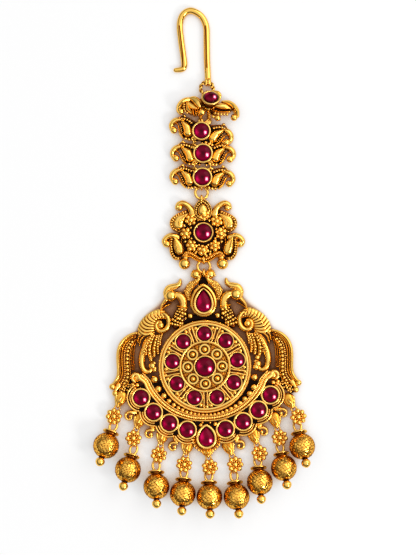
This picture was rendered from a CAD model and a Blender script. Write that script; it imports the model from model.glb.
"""Maang tikka: a wire hook, a chain of paisley links, a rosette, a medallion with two
peacocks over a crescent of rubies, and a fringe of hammered ball drops.

Lengths are in millimetres until a mesh is written, which turns them into metres in the
row frame: the origin at the middle of the medallion on the resting plane, +X to the
right, +Y towards the hook, +Z up. Every shape is a surface of two parameters, worked
out as whole arrays. The pendant is drawn upright and turned as it lies at the end.
"""
from __future__ import annotations

import logging
import math
from dataclasses import dataclass
from enum import Enum

import bpy
import numpy as np
from mathutils import Matrix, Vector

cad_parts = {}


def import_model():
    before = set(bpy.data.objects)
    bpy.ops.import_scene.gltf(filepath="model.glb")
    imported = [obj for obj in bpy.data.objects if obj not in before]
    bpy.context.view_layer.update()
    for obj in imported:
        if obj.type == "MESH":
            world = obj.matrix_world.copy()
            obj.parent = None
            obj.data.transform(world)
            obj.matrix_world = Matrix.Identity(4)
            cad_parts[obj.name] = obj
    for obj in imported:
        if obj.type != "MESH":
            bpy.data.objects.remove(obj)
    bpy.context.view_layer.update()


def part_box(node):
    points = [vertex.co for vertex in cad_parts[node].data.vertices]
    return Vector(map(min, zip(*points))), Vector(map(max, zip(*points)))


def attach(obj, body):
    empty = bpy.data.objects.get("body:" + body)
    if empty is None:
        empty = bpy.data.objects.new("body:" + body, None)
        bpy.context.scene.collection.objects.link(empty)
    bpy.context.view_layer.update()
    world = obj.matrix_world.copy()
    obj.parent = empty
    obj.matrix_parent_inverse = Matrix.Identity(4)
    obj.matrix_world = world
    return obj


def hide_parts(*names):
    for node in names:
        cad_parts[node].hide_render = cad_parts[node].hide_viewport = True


LOG = logging.getLogger("maang_tikka")
MM = 0.001
Array = np.ndarray
Row = tuple[float, ...]
Points = list[Row] | tuple[Row, ...] | Array
Flat = tuple[float, float]
Spot = tuple[float, float, float]
Real = float | list[float] | Array


# ---------- surfaces


@dataclass
class Surface:
    """Points in millimetres, faces of four corners (-1 closes a triangle), the shade of
    each point from 0, a worn height, to 1, a dark recess, and the finish it takes."""

    points: Array
    faces: Array
    shade: Array
    finish: int = 0

    def mirrored(self) -> Surface:
        """The mirror image about the YZ plane, its faces turned round to point outwards."""
        faces = np.where(self.faces[:, 3:] < 0, self.faces[:, [2, 1, 0, 3]], self.faces[:, ::-1])
        return Surface(self.points * (-1.0, 1.0, 1.0), faces, self.shade, self.finish)

    def placed(self, turn: Array, shift: Spot) -> Surface:
        """The surface turned by a 3x3 matrix and then shifted."""
        return Surface(self.points @ turn.T + np.asarray(shift), self.faces, self.shade,
            self.finish)

    def smooth(self) -> Surface:
        """The same surface in the second of its piece's finishes, the smooth gold."""
        return Surface(self.points, self.faces, self.shade, 1)

    def rimmed(self) -> Surface:
        """The same surface in the third of its piece's finishes, the rim gold."""
        return Surface(self.points, self.faces, self.shade, 2)

    def shaded(self, shade: float) -> Surface:
        """The same surface in one shade all over."""
        return Surface(self.points, self.faces, np.full(len(self.points), float(shade)),
            self.finish)

    def darker(self, more: Real) -> Surface:
        """The same surface with more added to its shade."""
        return Surface(self.points, self.faces, self.shade + more, self.finish)


Parts = list[Surface]


def smoothed(*surfaces: Surface) -> Parts:
    """Surfaces in the smooth gold."""
    return [s.smooth() for s in surfaces]


def turn_about(axis: str, degrees: float) -> Array:
    """Rotation matrix about an axis.

    Args:
        axis: "x", "y" or "z".
        degrees: right-handed angle.

    Returns:
        Cosines and sines in the plane square to the axis, 3 by 3.
    """
    c, s = math.cos(math.radians(degrees)), math.sin(math.radians(degrees))
    if axis == "x":
        return np.array(((1, 0, 0), (0, c, -s), (0, s, c)), float)
    if axis == "y":
        return np.array(((c, 0, s), (0, 1, 0), (-s, 0, c)), float)
    return np.array(((c, -s, 0), (s, c, 0), (0, 0, 1)), float)


def grid_faces(rows: int, columns: int, wrap_rows: bool = False,
        wrap_columns: bool = False) -> Array:
    """Faces of a grid of points stored row by row.

    Args:
        rows: points along the first parameter.
        columns: points along the second.
        wrap_rows: whether the last row joins the first.
        wrap_columns: whether the last column joins the first.

    Returns:
        Four corners a face, facing along row direction cross column direction.
    """
    i = np.arange(rows if wrap_rows else rows - 1)
    j = np.arange(columns if wrap_columns else columns - 1)
    i, j = np.meshgrid(i, j, indexing="ij")
    here, there = i * columns, ((i + 1) % rows) * columns
    left, right = j, (j + 1) % columns
    corners = (here + left, there + left, there + right, here + right)
    return np.stack(corners, axis=-1).reshape(-1, 4)


def welded(points: Array, faces: Array, shade: Array) -> Surface:
    """Joins the points that coincide, so that poles and seams are closed.

    Args:
        points: places, one row each.
        faces: four corners a face.
        shade: shade of each point.

    Returns:
        The surface. A face with two joined corners is a triangle, with more it is gone.
    """
    _, first, merged = np.unique(np.round(points, 5), axis=0, return_index=True,
        return_inverse=True)
    faces = merged.ravel()[faces]
    distinct = faces != np.roll(faces, -1, axis=1)
    corners = distinct.sum(axis=1)
    three = corners == 3
    triangles = faces[three][distinct[three]].reshape(-1, 3)
    triangles = np.hstack([triangles, np.full((len(triangles), 1), -1)])
    return Surface(points[first], np.vstack([faces[corners == 4], triangles]), shade[first])


def curve_through(points: Points, samples: int) -> tuple[Array, float]:
    """Smooth line through points: between two of them it is the Catmull-Rom cubic of the
    four nearest.

    Args:
        points: two or more points of any dimension.
        samples: number of points wanted.

    Returns:
        Points evenly spaced along the line, and its length.
    """
    knots = np.asarray(points, float)
    knots = np.vstack([2 * knots[:1] - knots[1:2], knots, 2 * knots[-1:] - knots[-2:-1]])
    t = np.linspace(0, len(knots) - 3, 20 * len(knots))
    i = np.minimum(t.astype(int), len(knots) - 4)
    u = (t - i)[:, None]
    a, b, c, d = knots[i], knots[i + 1], knots[i + 2], knots[i + 3]
    line = 0.5 * (2 * b + (c - a) * u + (2 * a - 5 * b + 4 * c - d) * u**2 + (3 * b - a - 3 * c + d)
        * u**3)
    length = np.append(0, np.cumsum(np.linalg.norm(np.diff(line, axis=0), axis=1)))
    wanted = np.linspace(0, length[-1], samples)
    return np.stack([np.interp(wanted, length, axis) for axis in line.T], axis=1), length[-1]


def evenly(values: Real, samples: int) -> Array:
    """Values interpolated evenly to a number of samples; one number is repeated."""
    values = np.atleast_1d(np.asarray(values, float))
    return np.interp(np.linspace(0, 1, samples), np.linspace(0, 1, len(values)), values)


def unit(vectors: Array) -> Array:
    """Vectors, one row each, brought to length 1."""
    return vectors / np.linalg.norm(vectors, axis=-1, keepdims=True)


def headings(line: Array) -> tuple[Array, Array]:
    """Unit tangents of a line in the plane, and the unit normals to their left."""
    along = unit(np.gradient(line, axis=0))
    return along, np.stack([-along[:, 1], along[:, 0]], axis=1)


def all_round(samples: int) -> Array:
    """Even angles round a circle."""
    return np.linspace(0, 2 * math.pi, samples, endpoint=False)


CAP = np.linspace(0, math.pi / 2, 6)[:-1]     # angles of the rows that close an end


def with_ends(line: Array, along: Array, radius: Array) -> tuple[Array, Array]:
    """Lengthens a line by the half rounds that close it.

    Args:
        line: its points.
        along: its unit tangents.
        radius: half its width at each point.

    Returns:
        The points, an end's moved on by the radius times the cosine of the cap's angle, and
        the share of the width there, the sine of that angle.
    """
    start = line[0] - along[0] * (radius[0] * np.cos(CAP))[:, None]
    end = line[-1] + along[-1] * (radius[-1] * np.cos(CAP[::-1]))[:, None]
    share = np.concatenate([np.sin(CAP), np.ones(len(line)), np.sin(CAP)[::-1]])
    return np.vstack([start, line, end]), share


def held(values: Array) -> Array:
    """Values along a line, repeated at its ends for the rows that close them."""
    first, last = (np.repeat(end, len(CAP), axis=0) for end in (values[:1], values[-1:]))
    return np.concatenate([first, values, last])


# ---------- sections


@dataclass(frozen=True)
class Section:
    """Cross-section of a strand. Across runs from -1 to 1. The height there is
    (1 - |across|^power)^(1/2), less a bell-shaped groove at each place in grooves."""

    power: float = 2.0
    grooves: tuple[float, ...] = ()
    groove_width: float = 0.16
    groove_depth: float = 0.45
    columns: int = 9

    def across(self) -> Array:
        """Places across, closer together towards the edges: the cosine of even angles."""
        return -np.cos(np.linspace(0, math.pi, self.columns))

    def cut(self) -> Array:
        """Sum of the bells exp(-((across - place) / width)^2)."""
        away = self.across()[:, None] - np.asarray(self.grooves, float)[None, :]
        return np.exp(-((away / self.groove_width) ** 2)).sum(axis=1)

    def height(self) -> Array:
        """Height at each place, from 0 to 1."""
        body = np.sqrt(np.clip(1 - np.abs(self.across()) ** self.power, 0, 1))
        return body * (1 - self.groove_depth * self.cut())

    def shade(self) -> Array:
        """Dark at the feet, where the height is low, and in the grooves."""
        return np.clip(0.6 * np.abs(self.across()) ** 8 + 0.8 * self.cut() - 0.1, -0.1, 1)


DOMED = Section()
FLAT = Section(power=8.0)
LEAF = Section(power=3.2, columns=11)
RIBBED = Section(power=3.0, grooves=(0.15,), groove_width=0.12, groove_depth=0.15, columns=17)


@dataclass(frozen=True)
class Ridges:
    """Cuts across a strand. The height is less by depth times half of one plus the
    cosine of the length over the pitch, plus the slant times the place across."""

    pitch: float
    depth: float = 0.4
    slant: float = 0.0

    def cut(self, length: Array, across: Array) -> Array:
        """How deep each point lies in a cut, from 0 to 1."""
        phase = length[:, None] / self.pitch + self.slant * across[None, :]
        return (0.5 + 0.5 * np.cos(2 * math.pi * phase)) ** 1.5


STEP = 0.22           # spacing of a strand's rows; a ridged one has seven to a cut at least
TUBE_STEP = 0.2


def strand(points: Points, widths: Real, low: float, crowns: Real, floor: float = 0.0,
        section: Section = DOMED, ridges: Ridges | None = None) -> Surface:
    """Relief band along a smooth line in the plane.

    A point is the line's place plus its left normal times half the width times the place
    across, at the low level plus the section's height times what the crown has over it.
    In the half rounds at its ends width and rise shrink with the sine of an angle.

    Args:
        points: the line.
        widths: widths along it.
        low: level at which the relief meets its sides.
        crowns: levels of the crown along it.
        floor: level of the flat underside.
        section: the cross-section.
        ridges: cuts across it.

    Returns:
        A closed surface.
    """
    _, length = curve_through(points, 2)
    step = STEP if ridges is None else min(STEP, ridges.pitch / 7)
    samples = max(8, int(length / step))
    line, length = curve_through(points, samples)
    along, left = headings(line)
    half, crown = evenly(widths, samples) / 2, evenly(crowns, samples)
    place, shrink = with_ends(line, along, half)
    left, half, crown = held(left), held(half), held(crown)
    reach = np.linspace(0, length, samples)
    reach = np.concatenate([reach[0] - half[0] * np.cos(CAP), reach, reach[-1] + half[-1]
        * np.cos(CAP[::-1])])
    across, height = section.across(), section.height()
    rise, shade = np.outer(shrink**0.8, height), np.tile(section.shade(), (len(place), 1))
    if ridges is not None:
        cut = ridges.cut(reach, across)
        rise = rise * (1 - ridges.depth * cut)
        shade = np.clip(shade + 0.8 * cut * min(1.0, ridges.depth * 2), -0.1, 1)
    flat = place[:, None, :] + left[:, None, :] * np.outer(half * shrink, across)[..., None]
    top = low + (crown[:, None] - low) * rise
    upper = np.concatenate([flat, top[..., None]], axis=2)
    feet = np.concatenate([flat[:, [-1, 0]], np.full((len(place), 2, 1), floor)], axis=2)
    grid = np.concatenate([upper, feet], axis=1)
    shade = np.hstack([shade, np.ones((len(place), 2))])
    rows, columns = grid.shape[:2]
    return welded(grid.reshape(-1, 3), grid_faces(rows, columns, wrap_columns=True), shade.ravel())


def tube(points: Points, radii: Real, segments: int = 14) -> Surface:
    """Round wire with round ends along a smooth line in space.

    A point is the line's place plus the radius times the cosine of an angle along the left
    normal and its sine along the normal crossed with the tangent.

    Args:
        points: the line.
        radii: radii along it.
        segments: points round it.

    Returns:
        A closed surface.
    """
    _, length = curve_through(points, 2)
    samples = max(6, int(length / TUBE_STEP))
    line, _ = curve_through(points, samples)
    along = unit(np.gradient(line, axis=0))
    left = unit(np.cross((0.0, 0.0, 1.0), along))
    radius = evenly(radii, samples)
    place, shrink = with_ends(line, along, radius)
    along, left, radius = held(along), held(left), held(radius) * shrink
    other = np.cross(left, along)
    angle = all_round(segments)
    ring = (left[:, None, :] * np.cos(angle)[None, :, None] + other[:, None, :]
        * np.sin(angle)[None, :, None])
    grid = place[:, None, :] + ring * radius[:, None, None]
    faces = grid_faces(len(place), segments, wrap_columns=True)
    return welded(grid.reshape(-1, 3), faces, np.zeros(grid.shape[0] * segments))


def ring(centre: Spot, radius: float, wire: float, normal: Spot = (0, 0, 1), twist: int = 0,
        segments: int = 64, sides: int = 12, tall: float = 0.0) -> Surface:
    """Closed wire ring: a point is the centre plus a place on an ellipse in the plane square
    to normal, plus the wire's radius round it. A twisted wire's radius swells twice round
    it, and the swelling turns as the ring goes round.

    Args:
        centre: the middle.
        radius: radius of the ring, or of an ellipse along its side.
        wire: radius of the wire.
        normal: direction square to the ring.
        twist: turns of the wire about itself, 0 for plain wire.
        segments: points round the ring.
        sides: points round the wire.
        tall: the ellipse's other radius, 0 for a round ring.

    Returns:
        A closed surface.
    """
    axis = np.asarray(normal, float) / np.linalg.norm(normal)
    side = np.cross(axis, (0, 0, 1.0)) if abs(axis[2]) < 0.9 else np.array((1.0, 0, 0))
    side -= axis * (side @ axis)
    side /= np.linalg.norm(side)
    up = np.cross(axis, side)
    round_ring = all_round(segments)[:, None]
    round_wire = all_round(sides)[None, :]
    thick = wire * (1 + 0.22 * np.cos(2 * round_wire + twist * round_ring) * bool(twist))
    out_x = radius + thick * np.cos(round_wire)
    out_y = (tall or radius) + thick * np.cos(round_wire)
    x, y = out_x * np.cos(round_ring), out_y * np.sin(round_ring)
    z = thick * np.sin(round_wire) * np.ones_like(round_ring)
    grid = (np.asarray(centre, float) + x[..., None] * side + y[..., None] * up + z[..., None]
        * axis)
    shade = np.clip((1 - thick / wire) * 4, 0, 1) * np.ones_like(x)
    return Surface(grid.reshape(-1, 3), grid_faces(segments, sides, True, True), shade.ravel())


def lathe(profile: Points, segments: int = 64, centre: Spot = (0, 0, 0)) -> Surface:
    """Surface of revolution about the Z axis: the radius times the cosine and sine of an
    angle, at the profile's height.

    Args:
        profile: radius, height and shade, from the middle of the underside round to the
            middle of the top.
        segments: points round it.
        centre: where its axis and its zero height lie.

    Returns:
        A closed surface.
    """
    radius, height, shade = np.asarray(profile, float).T
    angle = all_round(segments)[:, None]
    grid = np.stack([radius * np.cos(angle), radius * np.sin(angle), height * np.ones_like(angle)],
        axis=-1) + np.asarray(centre, float)
    faces = grid_faces(segments, len(radius), wrap_rows=True)
    return welded(grid.reshape(-1, 3), faces, np.tile(shade, segments))


def unit_ball(rings: int, segments: int) -> Surface:
    """Ball of radius 1: radius the sine and height the cosine of an even angle, in shade
    below.

    Args:
        rings: rings of faces from pole to pole.
        segments: faces round it.

    Returns:
        A closed surface.
    """
    angle = np.linspace(math.pi, 0, rings + 1)
    profile = np.stack([np.sin(angle), np.cos(angle), np.clip(0.15 - 0.9 * np.cos(angle), 0, 1)],
        axis=1)
    return lathe(profile.tolist(), segments)


def granules(centres: Points, radii: Real, fine: int = 6) -> Surface:
    """Many small balls at once: the unit ball times each radius plus each middle.

    Args:
        centres: their middles.
        radii: their radii.
        fine: rings of faces in each.

    Returns:
        One surface.
    """
    centres = np.asarray(centres, float).reshape(-1, 3)
    radii = np.broadcast_to(np.asarray(radii, float), (len(centres),))
    ball = unit_ball(fine, fine + fine // 2 + 1)
    points = ball.points[None] * radii[:, None, None] + centres[:, None, :]
    shift = (np.arange(len(centres)) * len(ball.points))[:, None, None]
    faces = np.where(ball.faces[None] < 0, -1, ball.faces[None] + shift)
    return Surface(points.reshape(-1, 3), faces.reshape(-1, 4), np.tile(ball.shade, len(centres)))


def bead_line(points: Points, radii: Real, level: Real, fine: int = 6,
        room: float = 1.0) -> Surface:
    """Row of beads along a line. The count so far is the sum of the line's steps over the
    diameter there, and a bead stands at every whole and a half.

    Args:
        points: the line in the plane.
        radii: radii along it.
        level: height of the beads' middles along it.
        fine: rings of faces in each bead.
        room: spacing as a share of the diameter.

    Returns:
        One surface.
    """
    samples = 400
    line, length = curve_through(points, samples)
    radius, height = evenly(radii, samples), evenly(level, samples)
    count = np.append(0, np.cumsum(length / (samples - 1) / (2 * room * radius[:-1])))
    stand = np.arange(0.5, count[-1], 1.0)
    at = np.interp(stand, count, np.arange(samples))
    x, y, z, r = (np.interp(at, np.arange(samples), v) for v in (*line.T, height, radius))
    return granules(np.stack([x, y, z], axis=1), r, fine)


def grain_field(points: Points, widths: Real, low: float, crown: float, radius: float, seed: int,
        fine: int = 5) -> Surface:
    """Granules packed over a band in offset rows, each a little out of its place, at a
    height that follows the root of one less the square of the place across.

    Args:
        points: the band's middle line.
        widths: its widths.
        low: level of the middles at the band's edges.
        crown: level of the middles along its middle line.
        radius: radius of a granule.
        seed: seed of the small shifts.
        fine: rings of faces in each granule.

    Returns:
        One surface.
    """
    _, length = curve_through(points, 2)
    rows = max(2, int(length / (1.75 * radius)))
    line, _ = curve_through(points, rows)
    _, left = headings(line)
    half = np.maximum(evenly(widths, rows) / 2 - radius * 0.6, 0.01)
    most = int(half.max() / radius) + 2
    place = (np.arange(-most, most + 1)[None, :] + 0.5 * (np.arange(rows)[:, None] % 2)) * 2
    across = place * radius
    inside = np.abs(across) <= half[:, None]
    chance = np.random.default_rng(seed)
    rise = np.sqrt(np.clip(1 - (across / half[:, None]) ** 2, 0, 1))
    flat = line[:, None, :] + left[:, None, :] * across[..., None]
    flat = flat + chance.uniform(-0.4, 0.4, flat.shape) * radius
    height = low + (crown - low) * rise + chance.uniform(-0.3, 0.3, rise.shape) * radius
    centres = np.concatenate([flat, height[..., None]], axis=2)[inside]
    return granules(centres, radius * chance.uniform(0.8, 1.25, len(centres)), fine)


# ---------- outlines


def round_outline(radius: float, samples: int = 64) -> Array:
    """Circle about the origin, anticlockwise."""
    angle = all_round(samples)
    return radius * np.stack([np.cos(angle), np.sin(angle)], axis=1)


def drop_outline(radius: float, tip: float, samples: int = 64) -> Array:
    """Drop about the middle of its round end, anticlockwise from the right side.

    Args:
        radius: radius of the round end, below.
        tip: height of the tip over the middle of the round end.
        samples: number of points.

    Returns:
        A half circle below, and two arcs of radius (tip^2 + radius^2) / (2 radius) that
        touch it and meet in the tip.
    """
    side = (tip * tip + radius * radius) / (2 * radius)
    sweep = math.atan2(tip, side - radius)
    quarter = samples // 4
    climb = np.linspace(0, sweep, quarter + 1)
    right = np.stack([radius - side + side * np.cos(climb), side * np.sin(climb)], axis=1)
    left = right[:-1][::-1] * (-1, 1)
    angle = np.linspace(math.pi, 2 * math.pi, samples - 2 * quarter + 1)[1:-1]
    bottom = radius * np.stack([np.cos(angle), np.sin(angle)], axis=1)
    return np.vstack([right, left, bottom])


def wall(inner: Array, outer: Array, profile: Points, centre: Flat) -> Surface:
    """Wall between two outlines of as many points.

    Args:
        inner: inner outline.
        outer: outer outline.
        profile: share of the way outwards, height and shade, from the outer foot over the
            top to the inner foot.
        centre: where the outlines' origin lies.

    Returns:
        A closed surface: the inner point times one less the share plus the outer point
        times the share.
    """
    share, height, shade = np.asarray(profile, float).T
    flat = (inner[:, None, :] * (1 - share)[None, :, None] + outer[:, None, :]
        * share[None, :, None] + np.asarray(centre))
    grid = np.concatenate([flat, np.tile(height, (len(inner), 1))[..., None]], axis=2)
    faces = grid_faces(len(inner), len(share), True, True)
    return Surface(grid.reshape(-1, 3), faces, np.tile(shade, len(inner)))


def bezel(inner: Array, outer: Array, centre: Flat, low: float, top: float) -> Surface:
    """Rubbed-over setting: a wall whose round lip leans a little over the stone."""
    profile = [(1.0, low, 0.9), (1.0, low + 0.5 * (top - low), 0.4), (0.95, top - 0.16, -0.05),
        (0.75, top - 0.02, -0.2), (0.45, top, -0.2), (0.15, top - 0.06, -0.15),
        (-0.05, top - 0.2, 0.1), (-0.02, top - 0.45, 0.9), (0.0, low, 1.0)]
    return wall(inner, outer, profile, centre)


def raised(outline: Array, centre: Flat, share: Array, height: Array, shade: Array) -> Surface:
    """Closed surface over an outline that is seen whole from its middle: its points times
    a share, moved to the centre, at that share's height.

    Args:
        outline: points round the middle.
        centre: where the outline's origin lies.
        share: shares, one for each row.
        height: level of each row.
        shade: shade of each row.

    Returns:
        The surface.
    """
    flat = outline[:, None, :] * share[None, :, None] + np.asarray(centre)
    grid = np.concatenate([flat, np.tile(height, (len(outline), 1))[..., None]], axis=2)
    faces = grid_faces(len(outline), len(share), wrap_rows=True)
    return welded(grid.reshape(-1, 3), faces, np.tile(shade, len(outline)))


def dome(outline: Array, centre: Flat, low: float, girdle: float, top: float,
        rings: int = 12) -> Surface:
    """Polished stone or boss: the outline times the cosine of an angle, raised over the
    girdle by its sine.

    Args:
        outline: the girdle's outline.
        centre: where the outline's origin lies.
        low: level of its flat underside.
        girdle: level at which the dome starts.
        top: level of its crown.
        rings: rings of faces in the dome.

    Returns:
        A closed surface.
    """
    angle = np.linspace(0, math.pi / 2, rings + 1)
    share = np.concatenate([[0, 1], np.cos(angle)])
    height = np.concatenate([[low, low], girdle + (top - girdle) * np.sin(angle)])
    shade = np.concatenate([[1, 1], 0.5 * np.cos(angle) ** 8])
    return raised(outline, centre, share, height, shade)


def plate(outline: Array, centre: Flat, low: float, top: float, shade: float = 0.6) -> Surface:
    """Flat plate over an outline, with a small chamfer.

    Args:
        outline: its edge.
        centre: where the outline's origin lies.
        low: level of its underside.
        top: level of its face.
        shade: shade of its face.

    Returns:
        A closed surface.
    """
    share = np.array([0, 0.98, 1, 1, 0.97, 0])
    height = np.array([low, low, low + 0.06, top - 0.08, top, top])
    return raised(outline, centre, share, height, np.array([1, 1, 0.8, 0.5, shade, shade]))


def ribbon(grid: Array, shade: Array) -> Surface:
    """Closed band: a grid of rows round it, one after another along it, whose first and
    last rows are drawn together to their middles.

    Args:
        grid: points, row by row along the band.
        shade: shade of each point.

    Returns:
        A closed surface.
    """
    ends = np.repeat(grid[[0, -1]].mean(axis=1, keepdims=True), grid.shape[1], axis=1)
    grid = np.concatenate([ends[:1], grid, ends[1:]], axis=0)
    shade = np.vstack([shade[:1], shade, shade[-1:]])
    return welded(grid.reshape(-1, 3), grid_faces(*grid.shape[:2], wrap_columns=True),
        shade.ravel())


def slab(inner: Array, outer: Array, low: float, top: float) -> Surface:
    """Flat dark band between two lines of as many points.

    Args:
        inner: one line.
        outer: the other line.
        low: level of the underside.
        top: level of the face.

    Returns:
        A closed surface.
    """
    rows = np.stack([inner, outer, outer, inner], axis=1)
    height = np.broadcast_to((low, low, top, top), rows.shape[:2])
    return ribbon(np.concatenate([rows, height[..., None]], axis=2), np.ones(rows.shape[:2]))


def polar(radius: float, degrees: float, centre_y: float = 0.0) -> Flat:
    """Point at an angle counted from +X on a circle about (0, centre_y)."""
    angle = math.radians(degrees)
    return radius * math.cos(angle), centre_y + radius * math.sin(angle)


def arc(radius: float, start: float, end: float, centre: Flat = (0, 0), samples: int = 9) -> Points:
    """Points of an arc between two angles in degrees."""
    angle = np.radians(np.linspace(start, end, samples))
    return list(zip(centre[0] + radius * np.cos(angle), centre[1] + radius * np.sin(angle)))


def about(x: float, y: float, level: Real, reach: float, angle: Array) -> Array:
    """Points at a level on a circle about (x, y), at angles in radians."""
    return np.stack([x + reach * np.cos(angle), y + reach * np.sin(angle),
        np.full(len(angle), level)], axis=1)


def upright_eye(centre: Spot, segments: int = 40) -> Surface:
    """Upright wire eye, as large as a jump ring needs."""
    return ring(centre, 0.77, 0.27, (1, 0, 0), segments=segments)


# ---------- finishes


Colour = Spot
Stops = tuple[tuple[float, Colour], ...]
WHITE: Colour = (1.0, 1.0, 1.0)
Input = bpy.types.NodeSocket | float | Colour | tuple[float, ...]


class Slot(Enum):
    """Material slots of the record."""

    ANTIQUE = "antique_gold"
    POLISHED = "polished_gold"
    HAMMERED = "hammered_gold"
    RUBY = "ruby"


class Graph:
    """Adds nodes to an empty node tree."""

    def __init__(self, tree: bpy.types.NodeTree) -> None:
        """Empties the tree."""
        self.tree = tree
        tree.nodes.clear()

    def node(self, kind: str, inputs: dict[str | int, Input] | None = None,
            **settings: object) -> bpy.types.Node:
        """Adds a node.

        Args:
            kind: the node's type, without its common prefix.
            inputs: by name or number, the socket that feeds an input or its constant.
            settings: the node's own settings.

        Returns:
            The node.
        """
        made = self.tree.nodes.new("ShaderNode" + kind)
        for name, value in settings.items():
            setattr(made, name, value)
        for name, value in (inputs or {}).items():
            if isinstance(value, bpy.types.NodeSocket):
                self.tree.links.new(value, made.inputs[name])
            elif isinstance(value, tuple) and len(made.inputs[name].default_value) > len(value):
                made.inputs[name].default_value = (*value, 1.0)
            else:
                made.inputs[name].default_value = value
        return made

    def combine(self, a: Input, b: Input, c: Input) -> bpy.types.NodeSocket:
        """a times b plus c."""
        return self.node("Math", {0: a, 1: b, 2: c}, operation="MULTIPLY_ADD").outputs[0]

    def ramp(self, factor: bpy.types.NodeSocket, stops: Stops) -> bpy.types.NodeSocket:
        """Colour that runs through the stops as the factor rises.

        Args:
            factor: what picks the colour.
            stops: places and their colours.

        Returns:
            The colour.
        """
        made = self.node("ValToRGB", {0: factor})
        elements = made.color_ramp.elements
        while len(elements) < len(stops):
            elements.new(0.5)
        for element, (place, colour) in zip(elements, stops):
            element.position = place
            element.color = (*colour, 1.0)
        return made.outputs[0]


@dataclass(frozen=True)
class Gold:
    """Gilded metal that darkens in its recesses. The darkness is the piece's shade times
    recess, plus how hidden a point is times crevice, plus a mottle. It picks the colour and
    roughens the metal."""

    name: str
    slot: Slot
    metallic: float = 1.0
    rough: float = 0.24
    recess: float = 0.9
    crevice: float = 0.55
    mottling: float = 0.2
    grain: float = 0.0
    coat: float = 0.08
    tones: Stops = ((0.14, (1.0, 0.59, 0.115)), (0.28, (0.86, 0.415, 0.042)),
        (0.4, (0.58, 0.205, 0.012)), (0.54, (0.32, 0.08, 0.005)), (0.7, (0.11, 0.022, 0.0015)),
        (0.88, (0.01, 0.0025, 0.0006)))
    edge: Colour = (1.0, 0.8, 0.45)

    def material(self) -> bpy.types.Material:
        """Builds the material from object coordinates and the shade attribute.

        Returns:
            The material.
        """
        made = bpy.data.materials.new(self.name)
        made.use_nodes = True
        graph = Graph(made.node_tree)
        place = graph.node("TexCoord").outputs["Object"]
        mottle = graph.node("TexNoise", {"Vector": place, "Scale": 1500.0, "Detail": 3.0})
        shade = graph.node("Attribute", attribute_name="shade").outputs["Fac"]
        seen = graph.node("AmbientOcclusion", {"Distance": 0.0006}, samples=6).outputs["AO"]
        dark = graph.combine(shade, self.recess, self.crevice - 0.5 * self.mottling)
        dark = graph.combine(mottle.outputs["Fac"], self.mottling, dark)
        dark = graph.node("Math", {0: seen, 1: -self.crevice, 2: dark}, operation="MULTIPLY_ADD",
            use_clamp=True).outputs[0]
        colour = graph.ramp(dark, self.tones)
        inputs: dict[str | int, Input] = {"Base Color": colour, "Metallic": self.metallic,
            "Coat Weight": self.coat, "Coat Roughness": 0.1, "Specular Tint": self.edge,
            "Roughness": graph.combine(dark, 0.3, self.rough)}
        if self.grain:
            fine = graph.node("TexNoise", {"Vector": place, "Scale": 5200.0, "Detail": 2.0})
            inputs["Normal"] = graph.node("Bump", {"Strength": self.grain, "Distance": 0.00008,
                "Height": fine.outputs["Fac"]}).outputs[0]
        shader = graph.node("BsdfPrincipled", inputs)
        graph.node("OutputMaterial", {"Surface": shader.outputs[0]})
        return made


@dataclass(frozen=True)
class Ruby:
    """Polished ruby over foil. The shade attribute is how much light the foil sends
    back: from near black, through crimson, to magenta."""

    name: str = "ruby"
    slot: Slot = Slot.RUBY
    stops: Stops = ((0.0, (0.01, 0.0, 0.001)), (0.2, (0.045, 0.0, 0.004)),
        (0.4, (0.19, 0.0, 0.018)), (0.6, (0.52, 0.0, 0.06)), (0.8, (0.9, 0.015, 0.19)),
        (1.0, (1.0, 0.75, 0.85)))
    glow: float = 0.2

    def material(self) -> bpy.types.Material:
        """Builds the material: the ramp's colour under a clear, glossy coat.

        Returns:
            The material.
        """
        made = bpy.data.materials.new(self.name)
        made.use_nodes = True
        graph = Graph(made.node_tree)
        shade = graph.node("Attribute", attribute_name="shade").outputs["Fac"]
        colour = graph.ramp(shade, self.stops)
        shader = graph.node("BsdfPrincipled", {"Base Color": colour, "Roughness": 0.05, "IOR": 1.77,
            "Specular IOR Level": 0.035, "Emission Color": colour, "Emission Strength": self.glow})
        graph.node("OutputMaterial", {"Surface": shader.outputs[0]})
        return made


ANTIQUE = Gold("antique_gold", Slot.ANTIQUE, grain=0.35)
SMOOTH = Gold("smooth_gold", Slot.ANTIQUE, rough=0.21, mottling=0.12, recess=0.85, grain=0.12)
RIM = Gold("rim_gold", Slot.POLISHED, rough=0.27, mottling=0.06, crevice=0.2, recess=0.8,
    tones=((0.14, (1.0, 0.62, 0.145)), (0.28, (0.85, 0.44, 0.055)), (0.4, (0.58, 0.23, 0.016)),
    (0.54, (0.33, 0.105, 0.01)), (0.7, (0.12, 0.028, 0.003)), (0.88, (0.008, 0.0025, 0.0007))))
POLISHED = Gold("polished_gold", Slot.POLISHED, rough=0.12, mottling=0.05, recess=0.6, crevice=0.5)
HAMMERED = Gold("hammered_gold", Slot.HAMMERED, rough=0.14, mottling=0.12, recess=1.0, crevice=0.4,
    coat=0.1, tones=((0.14, (1.0, 0.55, 0.085)), (0.28, (0.9, 0.4, 0.035)),
    (0.42, (0.64, 0.2, 0.01)), (0.58, (0.38, 0.09, 0.005)), (0.74, (0.13, 0.03, 0.002)),
    (0.92, (0.01, 0.003, 0.0008))))
RUBY = Ruby()
GOLDS = [ANTIQUE, SMOOTH, RIM]
FRAME = ["pendant_frame"]     # the CAD node of the whole pendant but its stones and drops
Finish = Gold | Ruby


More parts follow.
